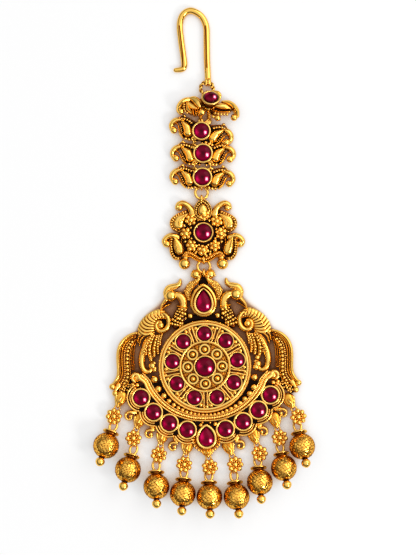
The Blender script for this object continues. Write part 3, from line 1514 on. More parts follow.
@dataclass
class Medallion:
    """Round plate with a double rim, nine settings between spokes, an inner ring, eight
    grains in ringed cups and the centre setting."""

    radius: float = 11.15
    field_top: float = 1.6
    stones: int = 9
    pitch: float = 7.9
    stone_radius: float = 1.73
    bezel_width: float = 0.4
    inner_ring: float = 5.93
    cups: int = 8
    cup_pitch: float = 4.12
    centre_radius: float = 2.33

    def body(self) -> Parts:
        """Plate with its rim: an outer wire, a groove, an inner band and the field.

        Returns:
            The plate.
        """
        r = self.radius
        i, low = self.inner_ring, self.field_top
        profile = [(0, 0, 1), (r - 0.3, 0, 1), (r - 0.05, 0.25, 0.8), (r, 1, 0.5), (r, 2, 0.2),
            (r - 0.05, 2.25, -0.2), (r - 0.2, 2.38, -0.3), (r - 0.4, 2.34, -0.25),
            (r - 0.48, 2.18, 0.3), (r - 0.55, 2.12, 0.45), (r - 0.62, 2.18, 0.3),
            (r - 0.7, 2.32, -0.2), (r - 0.9, 2.38, -0.3), (r - 1.12, 2.3, -0.2),
            (r - 1.22, 1.9, 0.6), (r - 1.33, low, 0.8), (r - 1.46, low + 0.04, 0.4),
            (r - 1.7, low + 0.05, 0.22), (i + 0.8, low + 0.05, 0.28), (i + 0.55, low, 0.75),
            (i, low, 0.8), (i - 0.5, low, 0.7), (i - 0.7, low + 0.05, 0.3), (3.3, low + 0.05, 0.35),
            (2.95, low, 0.7), (0, low, 1)]
        return [lathe(profile, 180).rimmed()]

    def stone_row(self) -> Parts:
        """Bezels, spokes with their heads, and the grains and pits beside them.

        Returns:
            Its surfaces.
        """
        made = []
        outline = round_outline(self.stone_radius, 48)
        outer = round_outline(self.stone_radius + self.bezel_width, 48)
        chance = np.random.default_rng(5)
        for k in range(self.stones):
            angle = 90 + 360 / self.stones * k
            made.append(bezel(outline, outer, polar(self.pitch, angle), 1, 2.5).rimmed())
            x, y = polar(self.pitch, angle)
            edge = self.stone_radius + self.bezel_width + 0.15
            made.append(lathe([(0, 1.5, 1), (edge, 1.5, 1), (edge, 1.7, 0.85), (0, 1.7, 0.85)], 48,
                (x, y, 0)))
            middle = angle + 180 / self.stones
            ends = [polar(6.15, middle), polar(7.6, middle), polar(9.45, middle)]
            groove = strand(ends, [1.35, 1, 1.15], 1.5, 1.7, 1, FLAT).shaded(0.48)
            made.append(groove)
            for side in (-1, 1):
                flank = [polar(6.2, middle + 4.2 * side), polar(7.8, middle + 2.7 * side),
                    polar(9.6, middle + 2.8 * side)]
                made.append(strand(flank, [0.5, 0.46, 0.5], 1.5, [2.4, 2.35, 2.25], 1,
                    LEAF).rimmed())
            heads = [(*polar(9.65, middle + 1.6), 1.85), (*polar(9.35, middle - 7.2), 1.8),
                (*polar(9.45, middle + 7.6), 1.8), (*polar(9.75, middle - 2.6), 1.75)]
            sizes = np.array([0.44, 0.54, 0.52, 0.38]) * chance.uniform(0.92, 1.06, 4)
            made.append(granules(heads, sizes, 9).smooth())
            for at in (-11.5, 5.2, 12.5):
                pit = plate(drop_outline(0.25, 0.5, 16), (0, 0), 1.3, 1.68, 1)
                made.append(pit.placed(turn_about("z", middle + 3 * at),
                    (*polar(9.65, middle + at), 0)))
        return made

    def rings(self) -> Parts:
        """Inner ring with a bright edge, cups, leaves between them, centre setting.

        Returns:
            Its surfaces.
        """
        inner, half = self.inner_ring, 0.34
        band = [(inner + half, 1.2, 0.9), (inner + half, 2.25, 0.2),
            (inner + half - 0.1, 2.5, -0.25), (inner + 0.08, 2.6, -0.3),
            (inner - 0.14, 2.54, -0.25), (inner - half, 2.25, 0.3), (inner - half, 1.2, 0.9)]
        count = 144
        made = [wall(round_outline(1, count) * 0, round_outline(1, count), band, (0, 0)).rimmed()]
        for k in range(self.cups):
            angle = 90 + 360 / self.cups * k
            x, y = polar(self.cup_pitch, angle)
            cup = lathe([(0, 1.5, 1), (1.4, 1.5, 0.5), (1.4, 2, 0.2), (1.32, 2.2, -0.2),
                (1.14, 2.25, -0.3), (0.94, 2.2, -0.2), (0.82, 1.95, 0.25), (0.7, 1.82, 0.45),
                (0.6, 1.8, 0.6), (0, 1.8, 0.8)], 40, (x, y, 0))
            foot = lathe([(0, 1.5, 1), (1.52, 1.5, 1), (1.52, 1.68, 0.4), (0, 1.68, 0.4)], 40,
                (x, y, 0))
            made += [cup.rimmed(), granules([(x, y, 2.06)], 0.62, 12).smooth(), foot]
            middle = angle + 180 / self.cups
            spine = [polar(3.4, middle), polar(4.2, middle), polar(5.3, middle)]
            leaf = strand(spine, [0.5, 0.9, 1.3], 1.6, [1.9, 1.95, 1.85], 1, DOMED,
                Ridges(0.5, 0.15)).darker(0.45)
            made.append(leaf)
        r, w = self.centre_radius, 0.45
        seat = lathe([(0, 0.5, 1), (r + w, 0.5, 1), (r + w, 2, 0.5), (r, 2.1, 0.9), (0, 2.1, 1)],
            96)
        lip = bezel(round_outline(r, 96), round_outline(r + w, 96), (0, 0), 1, 3.2)
        return made + [seat, lip.rimmed()]

    def build(self, bench: Bench) -> None:
        """Writes the medallion."""
        bench.write("medallion", laid(self.body() + self.stone_row() + self.rings()), GOLDS, FRAME)


# ---------- crescent


@dataclass
class Crescent:
    """Boat-shaped plate with eight round settings and a drop, a scalloped double rail
    outside, a curled rail inside, and graded beads between that and the medallion."""

    centre_y: float = 2.7
    pitch: float = 18.4
    step: float = 14.4
    bezel_inner: float = 1.84
    bezel_outer: float = 2.36
    field_top: float = 1.3
    scallop: float = 3.5
    rail_y: float = 1.6
    rail: float = 14.65
    drop_y: float = -17.35
    half_sweep: float = 69.0        # of the floor, in degrees from straight below
    bottom_scallop: float = 3.4
    strewn: Points = ((-12.1, -0.9, 0.5), (-12.1, -3.1, 0.92), (-11.2, -5.4, 0.88),
        (-9.85, -7.05, 0.76), (-8.6, -8.3, 0.66), (-7.45, -9.2, 0.6), (-6.4, -9.9, 0.56),
        (-5.4, -10.45, 0.54), (-4.4, -10.9, 0.52), (-3.4, -11.2, 0.5), (-2.45, -11.4, 0.49),
        (-1.5, -11.55, 0.48), (-0.55, -11.65, 0.48), (0.4, -11.68, 0.48), (1.35, -11.65, 0.48),
        (2.3, -11.55, 0.48), (3.25, -11.35, 0.5), (4.2, -11.05, 0.52), (5.2, -10.65, 0.55),
        (6.25, -10.2, 0.6), (7.35, -9.6, 0.64), (8.45, -8.85, 0.68), (9.6, -7.85, 0.74),
        (10.75, -6.55, 0.8), (11.8, -5, 0.84), (11.9, -2.6, 0.86), (12.25, -0.1, 0.85),
        (12.6, 2.2, 0.6))

    def places(self) -> list[Spot]:
        """Centre and outward direction of the left settings, from the bottom upwards."""
        return [(*polar(self.pitch, -90 - self.step * k, self.centre_y), -90 - self.step * k)
            for k in (1, 2, 3, 4)]

    def plate(self) -> Surface:
        """Floor of the crescent between its inner rail and the scallops: a ribbon along
        the arc of stones whose outer side follows the scallops.

        Returns:
            The floor.
        """
        samples = 241
        angle = np.radians(np.linspace(-90 - self.half_sweep, -90 + self.half_sweep, samples))
        inner = np.stack([(self.rail - 0.3) * np.cos(angle), self.rail_y + (self.rail - 0.3)
            * np.sin(angle)], axis=1)
        reach = np.zeros(samples)
        toward = np.stack([np.cos(angle), np.sin(angle)], axis=1)
        for k in range(-4, 5):
            x, y = polar(self.pitch, -90 + self.step * k, self.centre_y - self.rail_y)
            radius = self.scallop - 0.25 if k else self.bottom_scallop
            along = toward @ (x, y)
            off = toward[:, 0] * y - toward[:, 1] * x
            inside = np.clip(radius**2 - off**2, 0, None)
            reach = np.maximum(reach, np.where(inside > 0, along + np.sqrt(inside), 0))
        outer = toward * np.maximum(reach, self.rail)[:, None] + (0, self.rail_y)
        return slab(inner, outer, 0, self.field_top)

    def scallops(self) -> Parts:
        """Double rail round the outer side of each left setting.

        Returns:
            The rails of the left side.
        """
        made = []
        for k, (x, y, out) in enumerate(self.places()):
            start, end = out + (46.5 if k else 40), out - (48.4 if k < 3 else 95)
            for offset, width, top in ((0, 0.6, 2.3), (-0.64, 0.42, 2.3)):
                line = arc(self.scallop + offset - 0.22, start, end, (x, y), 13)
                made.append(strand(line, width, 1, top, 0.05 + 0.02 * k, LEAF))
        return [s.rimmed() for s in made]

    def settings(self) -> Parts:
        """Round bezels of the left side, each on a low cup."""
        inner, outer = round_outline(self.bezel_inner, 56), round_outline(self.bezel_outer, 56)
        return [bezel(inner, outer, (x, y), 0.6, 2.3).rimmed() for x, y, _ in self.places()]

    def beside_rail(self, inset: float, drift: float) -> Points:
        """Arc of the left side inside the rail's edge, which drifts outwards as it climbs."""
        return [polar(self.rail - inset + drift * (-90 - at), at, self.rail_y)
            for at in np.linspace(-90, -161, 15)]

    def rail_curl(self) -> Parts:
        """Inner rail of the left side, which rolls up round a knob.

        Returns:
            Its surfaces.
        """
        line = self.beside_rail(0.1, 0.013)
        inner = self.beside_rail(0.7, 0.011)
        thin = self.beside_rail(1.18, 0.009)
        line += [(-15.75, -2.5), (-16.05, -1.75), (-16.75, -1.5), (-17.4, -1.95), (-17.45, -2.75),
            (-16.95, -3.3)]
        outer = strand(line, [0.5] * 10 + [0.6, 0.7, 0.8, 0.9, 1, 1.1, 1.1, 1, 0.8], 1.2, 2.5, 0.03,
            LEAF)
        inner += [(-14.75, -2.3), (-15.5, -1.75)]
        thin += [(-14.3, -2), (-15, -1.3)]
        band = strand(inner, [0.7, 0.75, 0.85, 0.95, 0.9], 1.2, 2.3, 0.06, LEAF,
            Ridges(0.42, 0.1, 0.2))
        edge = strand(thin, 0.4, 1.2, 2.35, 0.07, LEAF)
        knob = granules([(-16.3, -2.4, 1.25)], 1.05, 16)
        boss = granules([(-16, -2.5, 2)], 0.45, 10)
        trefoil = granules([(-17.45, -4, 1.35), (-16.35, -4.15, 1.35), (-17, -4.95, 1.35)], 0.55,
            10)
        return [s.rimmed() for s in (outer, band, edge)] + smoothed(knob, boss, trefoil)

    def beads(self) -> Parts:
        """Graded beads between the medallion and the rail, and the fine row beside them.

        Returns:
            Both rows.
        """
        row = set_grains([(x, y, 1.5) for x, y, _ in self.strewn],
            [bead[2] for bead in self.strewn], 10)
        fine = strand(arc(12.6, -91, -135, (0, 0), 11), [0.75, 0.7, 0.35], 0.9, 1.8, 0.2, DOMED,
            Ridges(0.4, 0.25, 0.3))
        return smoothed(row, fine, fine.mirrored())

    def channel(self) -> Surface:
        """Dark floor under the beads: a band about the medallion, kept within the rail.

        Returns:
            The floor.
        """
        angle = np.linspace(-163, -17, 101)
        toward = np.stack([np.cos(np.radians(angle)), np.sin(np.radians(angle))], axis=1)
        off = toward[:, 0] * self.rail_y
        reach = toward[:, 1] * self.rail_y + np.sqrt((self.rail - 0.1) ** 2 - off**2)
        reach = np.minimum(reach, 14.4)
        return slab(toward * 10.8, toward * reach[:, None], 0.02, 0.95)

    def drop(self) -> Parts:
        """Setting of the drop with a beaded half ring below it.

        Returns:
            Its surfaces.
        """
        at = (0, self.drop_y)
        lip = bezel(drop_outline(1.88, 2.95), drop_outline(2.5, 3.6), at, 0.6, 2.5)
        beads = bead_line(arc(3.3, 165, 375, at, 17), 0.36, 1.7)
        wire = strand(arc(2.82, 150, 390, at, 17), 0.42, 0.9, 2.1, 0.12)
        return [lip.rimmed(), beads, wire.smooth()]

    def build(self, bench: Bench) -> None:
        """Writes the crescent.

        Args:
            bench: writes the piece.
        """
        grains = granules([(-1.3, -14.1, 1.6), (2.2, -13.85, 1.6), (-0.9, -13.5, 1.5),
            (1, -13.5, 1.5)], [0.5, 0.5, 0.3, 0.3], 9)
        pockets = []
        for x, y, out in self.places():
            ax, ay = polar(2.9, out + 80)
            pockets.append((x + ax * 0.95, y + ay * 0.95, 1.45))
        made = both(self.scallops() + self.settings() + self.rail_curl()
            + [granules(pockets, 0.34, 8)])
        made += [self.plate(), self.channel(), grains] + self.beads() + self.drop()
        bench.write("crescent", laid(made), GOLDS, FRAME)


@dataclass(frozen=True)
class DropStone:
    """Drop-shaped cabochon."""

    name: str
    node: str
    y: float
    radius: float
    tip: float
    seed: int
    seat: float = 1.3
    top: float = 3.1

    def build(self, bench: Bench) -> None:
        """Writes the stone.

        Args:
            bench: writes the piece.
        """
        stone = dome(drop_outline(self.radius, self.tip), (0, self.y), self.seat, self.seat + 0.6,
            self.top, rings=18)
        lit = Gem(self.seed, body=0.45).lit(stone, (0, self.y), self.radius, self.tip)
        bench.write(self.name, laid([lit]), [RUBY], [self.node])


# ---------- crown and birds


@dataclass
class Crown:
    """Drop setting between two granulated scrolls."""

    def build(self, bench: Bench) -> None:
        """Writes the crown.

        Args:
            bench: writes the piece.
        """
        outer, mid, inner = (drop_outline(3.25, 4.95), drop_outline(2.45, 4.05),
            drop_outline(1.84, 3.68))
        rim = wall(mid, outer, [(1, 0.03, 0.9), (1, 1.4, 0.5), (0.93, 1.95, 0.1), (0.72, 2.25, 0),
            (0.4, 2.3, 0), (0.12, 2.1, 0.2), (0, 1.7, 0.8), (0, 0.03, 1)], (0, 15.1))
        made = [rim.smooth(), bezel(inner, mid, (0, 14.9), 0.6, 2.55).rimmed(),
            plate(drop_outline(3.1, 4.8), (0, 15.1), 0.05, 1.25, 1)]
        line = [(-1.3, 21.9), (-1, 21.2), (-1.6, 20.45), (-2.75, 19.6), (-3.55, 18.4), (-3.8, 17.2),
            (-3.5, 16.2)]
        widths = [1, 1.1, 1.4, 1.9, 2, 1.7, 1]
        scroll = strand(line, widths, 1, [2.1, 2, 1.7, 1.6, 1.6, 1.6, 1.5], 0.04)
        granulated = grain_field(line[2:], [w - 0.1 for w in widths[2:]], 1.35, 1.75, 0.24, 3)
        edge = strand([(-1.2, 20.2), (-2.2, 19.2), (-3, 17.9), (-3.15, 16.6)], 0.3, 1.2, 2, 0.2)
        ball = granules([(-1.75, 22.15, 1.15)], 1.1, 18)
        boss = granules([(-1.15, 21.6, 1.75)], 0.5, 10)
        tendril = strand([(-2.8, 21.8), (-2.4, 22.9), (-1.5, 23.1), (-0.75, 22.5), (-0.6, 21.6),
            (-1.1, 20.9)], 0.5, 1.2, [1.7, 2, 2.2, 2.2, 2.1, 1.8], 0.3)
        knob = granules([(-3.3, 12.2, 1.3)], 0.68, 12)
        side_floor = strand(arc(11.9, 58, 90), 1.6, 0.6, 0.95, 0.02, FLAT).shaded(1)
        top_floor = strand([(0, 21.2), (0, 20.2)], 2.4, 0.6, 0.95, 0.01, FLAT).shaded(1)
        made += both([scroll, granulated, *smoothed(edge, ball, boss, tendril, knob), side_floor])
        made.append(top_floor)
        bench.write("crown", laid(made), GOLDS, FRAME)


@dataclass
class Peacock:
    """Peacock of the left side: head with a small eye, reeded neck, crest, open beak,
    collar and granulated chest."""

    def surfaces(self) -> Parts:
        """Builds the bird.

        Returns:
            Its surfaces in the pendant's upright frame.
        """
        head_x, head_y = upright([(-8.2, 17)])[0]
        head = granules([(head_x, head_y, 1.5)], 1.48, 22)
        eye = granules([(head_x - 0.1, head_y + 0.35, 2.62)], 0.3, 10).shaded(0.9)
        socket = ring((head_x - 0.1, head_y + 0.35, 2.62), 0.46, 0.12, segments=28, sides=8)
        neck = drawn([(-7.3, 17.25), (-6.35, 17.05), (-5.55, 16.35), (-5.2, 15.3), (-5.2, 14.3)],
            [1.7, 1.95, 2.05, 2.05, 2.1], 1, [2.3, 2.5, 2.6, 2.6, 2.4], 0.02, LEAF)
        crest = drawn([(-9.45, 16.7), (-9.35, 17.8), (-8.7, 18.75), (-7.7, 19.1), (-6.7, 19.35),
            (-6.05, 19.95), (-5.95, 20.8)], [0.9, 1.4, 1.6, 1.55, 1.4, 1.15, 0.6], 0.9,
            [1.8, 2.1, 2.2, 2.2, 2.1, 2, 1.8], 0.03)
        plumes = beaded([(-9.15, 17.4), (-8.6, 18.2), (-7.6, 18.55), (-6.6, 18.8)], 0.24, 1.9)
        beak = drawn([(-9.2, 16), (-9.95, 15.1), (-10.4, 14.3), (-10.6, 13.5)],
            [1.1, 0.85, 0.65, 0.5], 0.9, [2.2, 2.1, 2, 1.9], 0.04)
        lower = drawn([(-8.3, 15.1), (-9.3, 14.5), (-10.4, 13.7)], [0.4, 0.42, 0.35], 0.9, 2, 0.06)
        collar = drawn([(-6.7, 14.55), (-5.5, 14.3), (-4.2, 14.05)], 0.45, 1.6, 2.7, 0.5)
        chest_line = upright([(-5.5, 13.7), (-5.75, 12.6), (-6.35, 11.3), (-6.9, 10)])
        chest = strand(chest_line, [2.5, 3.3, 3.1, 2.2], 0.8, [1.7, 1.6, 1.5, 1.4],
            0.05).shaded(0.7)
        grains = grain_field(chest_line, [2.8, 3.7, 3.5, 2.5], 1.4, 1.9, 0.33, 12, 7)
        big = set_grains([(-4.85, 12.6, 1.9), (-4.7, 13.6, 1.9)], [0.42, 0.34], 10)
        smooth = (head, eye, socket, neck, crest, beak, lower, collar, plumes, big, grains)
        return [*smoothed(*smooth), chest]


@dataclass
class Fan:
    """Wing of the left side: ribs that fan out of a rolled tube, and the beaded plumes
    that hang below it."""

    centre: Flat = (-10.3, 10.1)
    ribs: int = 13

    def shell(self) -> Surface:
        """Ribbed dome of the wing: a point lies between the tube and the outer edge, at a height
        that swells between them and falls in a groove between each two ribs.

        Returns:
            The dome.
        """
        outer, _ = curve_through(upright([(-16.1, 7.4), (-16.15, 8.5), (-15.95, 9.9),
            (-15.1, 11.35), (-13.8, 12.55), (-12.3, 13.4), (-10.9, 13.7), (-9.5, 13.2),
            (-8.4, 12.1)]), 241)
        inner, _ = curve_through(upright([(-12.3, 7.5), (-12.1, 8.3), (-11.9, 9.3), (-11.85, 10.2),
            (-11.5, 10.9), (-10.9, 11.3), (-10.2, 11.35), (-9.5, 11.2), (-8.9, 10.9)]), 241)
        u = np.linspace(0, 1, 241)[:, None]
        v = np.linspace(0, 1, 19)[None, :]
        bow = 0.09 * np.sin(math.pi * v)
        phase = (u + bow * (1 - u)) * self.ribs
        split = np.clip((u - 0.45) / 0.15, 0, 1) * np.clip((v - 0.45) / 0.2, 0, 1)
        cut = (0.5 + 0.5 * np.cos(2 * math.pi * phase)) ** 6
        dots = 0.5 + 0.5 * np.cos(2 * math.pi * v * 5)
        cut = cut * (1 - 0.55 * split) + 0.25 * split * dots
        body = 1.15 + 0.85 * np.sin(math.pi * np.clip(v * 0.86 + 0.08, 0, 1)) ** 0.6
        height = body - 0.36 * cut * np.sin(math.pi * np.clip(v, 0.03, 0.97)) ** 0.3
        flat = inner[:, None] * (1 - v[..., None]) + outer[:, None] * v[..., None]
        top = np.concatenate([flat, height[..., None]], axis=2)
        feet = top[:, [-1, 0]].copy()
        feet[..., 2] = 0.02
        grid = np.concatenate([top, feet], axis=1)
        dark = (0.6 - 0.4 * u) * cut + 0.5 * (v < 0.06) - 0.12
        shade = np.hstack([np.clip(dark, -0.1, 1), np.ones((len(u), 2))])
        return ribbon(grid, shade).smooth()

    def roll(self) -> Parts:
        """Smooth tube that rolls inwards to a ball.

        Returns:
            Tube, ball and floor.
        """
        line = upright([(-10.5, 12.95), (-9.5, 12.5), (-8.85, 11.6), (-8.7, 10.5), (-9, 9.4),
            (-9.85, 8.6), (-10.9, 8.55), (-11.6, 9.2), (-11.7, 10.1), (-11.2, 10.75),
            (-10.6, 10.7)])
        pipe = strand(line, [0.5, 1.1, 1.35, 1.4, 1.4, 1.4, 1.35, 1.2, 1.1, 0.95, 0.8], 1.2,
            [2.1, 2.4, 2.65, 2.65, 2.6, 2.6, 2.55, 2.5, 2.4, 2.3, 2.2], 0.04)
        ball = set_grains([(-10.65, 9.9, 1.75)], 0.8, 14)
        floor = plate(round_outline(1.9), self.centre, 0.03, 1, 1)
        return [*smoothed(pipe, ball), floor]

    def plumes(self) -> Parts:
        """Hooked plume, two beaded ones and the outer tip.

        Returns:
            Their surfaces.
        """
        hook = upright([(-12.8, 7.6), (-13.9, 6), (-14.6, 4.4), (-15.05, 2.8), (-15.25, 1.1),
            (-14.95, -0.45), (-14.1, -1.25), (-13.2, -1.15), (-12.7, -0.4)])
        made = [strand(hook, [0.9, 1.2, 1.4, 1.6, 1.7, 1.65, 1.5, 1.3, 1.1], 0.9, [1.5, 1.6, 1.7,
            1.8, 2, 2.15, 2.15, 2.1, 1.9], 0.05).smooth()]
        upper = upright([(-12.7, 7.5), (-13.6, 6.1), (-14.2, 4.8), (-14.7, 3.5), (-14.95, 2.4)])
        made.append(bead_line(upper, [0.26, 0.34, 0.38, 0.38, 0.32], 1.85, 8).smooth())
        ends = [(-12.7, 0.15, 1.6), (-12.05, -0.45, 1.4), (-12.2, 0.75, 1.5)]
        made.append(set_grains(ends, [0.85, 0.5, 0.45], 12).smooth())
        for line, radii in (([(-12.3, 7.4), (-13.05, 5.8), (-13.4, 4.3), (-13.3, 2.9),
            (-12.9, 1.4)], [0.3, 0.42, 0.46, 0.42, 0.34]), ([(-11.55, 7.3), (-12, 5.7),
            (-12.25, 4.2), (-12.15, 2.6)], [0.28, 0.36, 0.38, 0.3]), ([(-11, 7.4), (-11.3, 5.9),
            (-11.4, 4.4), (-11.25, 3.1)], [0.26, 0.31, 0.31, 0.24]), ([(-10.4, 7.6), (-10.75, 6.4),
            (-10.85, 5.2)], [0.24, 0.27, 0.22]), ([(-13, 7.2), (-13.9, 5.6), (-14.2, 4.2),
            (-14.15, 3)], [0.26, 0.34, 0.34, 0.24])):
            spine = upright(line)
            made += [strand(spine, [2 * r + 0.3 for r in radii], 0.8, 1.45, 0.06),
                bead_line(spine, radii, 1.6, 8).smooth()]
        sweeps = (([(-12.4, 8), (-13.6, 7.1), (-14.6, 5.9), (-15.1, 4.6)], 0.5, 1.75),
            ([(-12.6, 8.2), (-14.2, 7.6), (-15.3, 6.6), (-15.75, 5)], 0.6, 1.85), ([(-13.2, 8.3),
            (-14.9, 8), (-15.9, 7.1), (-16.1, 5.8)], 0.6, 1.85))
        for index, (line, width, top) in enumerate(sweeps):
            made.append(drawn(line, [width, width, width, width * 0.6], 0.9, top, 0.07 + 0.01
                * index).smooth())
        return made

    def surfaces(self) -> Parts:
        """The wing in the pendant's upright frame."""
        return [self.shell()] + self.roll() + self.plumes()


@dataclass
class SideFeather:
    """Long feather down the left side: a smooth outer rib, a thin rib, a granular zone,
    a column of beads, a roped edge, a twin rail beside it and a foot with a ball."""

    def surfaces(self) -> Parts:
        """Builds the feather.

        Returns:
            Its surfaces in the pendant's upright frame.
        """
        spine = upright([(-17, 7.3), (-18.4, 6.2), (-19.3, 4.7), (-19.55, 2.6), (-19.5, 0.2),
            (-19.45, -1.8), (-19.9, -3.4), (-21, -4.5)])
        body = strand(spine, [1.2, 2.4, 2.9, 3.1, 3.1, 3, 2.8, 1.8], 0.8, 1.35, 0.02,
            FLAT).shaded(0.5)
        rib = drawn([(-16.5, 7.95), (-17.8, 7.5), (-19.1, 6.6), (-20.1, 5.35), (-20.65, 3.9),
            (-20.8, 2.4), (-20.75, 0.7), (-20.65, -1), (-20.85, -2.6), (-21.6, -3.9),
            (-22.3, -4.5)], [0.7, 0.9, 1.05, 1.1, 1.1, 1.1, 1.1, 1.1, 1.1, 1, 0.6], 0.9,
            [1.8, 2, 2.1, 2.1, 2.1, 2.1, 2.1, 2.1, 2, 1.9, 1.7], 0.04, RIBBED)
        thin = drawn([(-17.4, 7), (-18.6, 6.15), (-19.45, 5), (-19.85, 3.6), (-19.95, 2.2),
            (-19.9, 0.5), (-19.8, -1.1), (-20.05, -2.6), (-20.9, -3.9)], 0.45, 1.1, 1.95, 0.2)
        zone = beaded([(-18, 6.2), (-18.85, 4.9), (-19.25, 3.5), (-19.35, 2), (-19.3, 0.3),
            (-19.2, -1.3), (-19.4, -2.8), (-20.2, -4.1)], 0.25, 1.35, 7)
        beads = beaded([(-17.3, 6.2), (-18.15, 4.9), (-18.6, 3.4), (-18.7, 1.7), (-18.65, 0),
            (-18.55, -1.5), (-18.75, -3.1), (-19.6, -4.5)], [0.34, 0.4, 0.43, 0.43, 0.43, 0.42, 0.4,
            0.34], 1.6, 9, 1.06)
        rope = drawn([(-16.8, 6.4), (-17.6, 5), (-18, 3.4), (-18.1, 1.7), (-18.05, 0),
            (-17.95, -1.5), (-18.2, -3.3), (-19.1, -4.8), (-20.4, -5.4)], 0.42, 1, 1.85, 0.05,
            DOMED, Ridges(0.42, 0.2, 0.35))
        rails = [drawn(line, 0.3, 0.8, 1.7, 0.06) for line in ([(-16.5, 6.5), (-16.95, 4.6),
            (-17.15, 2.2), (-17.05, -0.9)], [(-16.85, 6.5), (-17.4, 4.6), (-17.6, 2.2),
            (-17.5, -0.9)])]
        stem = drawn([(-20.8, -4.6), (-21.3, -5.4), (-21.6, -6.2)], [1.6, 1.2, 1], 0.8, 1.6, 0.05)
        foot = set_grains([(-21.6, -6.5, 1.2)], 0.72, 12)
        tie = strand([(-16.8, -2.6), (-17, -4.6), (-16.6, -6.4)], [1.6, 1.8, 1.6], 0.8, 1.2, 0.03,
            FLAT).shaded(0.9)
        small = grain_field(upright([(-18.3, -4.4), (-19.6, -5.6), (-20.6, -6.6)]), [1.6, 1.9, 1.4],
            1.1, 1.5, 0.3, 30, 6)
        base = drawn([(-17.6, -4), (-19.4, -5.4), (-20.6, -6.6)], [2, 2.2, 1.5], 0.6, 1.1, 0.04,
            FLAT).shaded(0.9)
        heel = set_grains([(-22.3, -4.9, 1.2)], 0.75, 12)
        smooth = (rib, thin, zone, beads, rope, *rails, stem, foot, heel, small)
        return [body, tie, base, *smoothed(*smooth)]


# ---------- drops


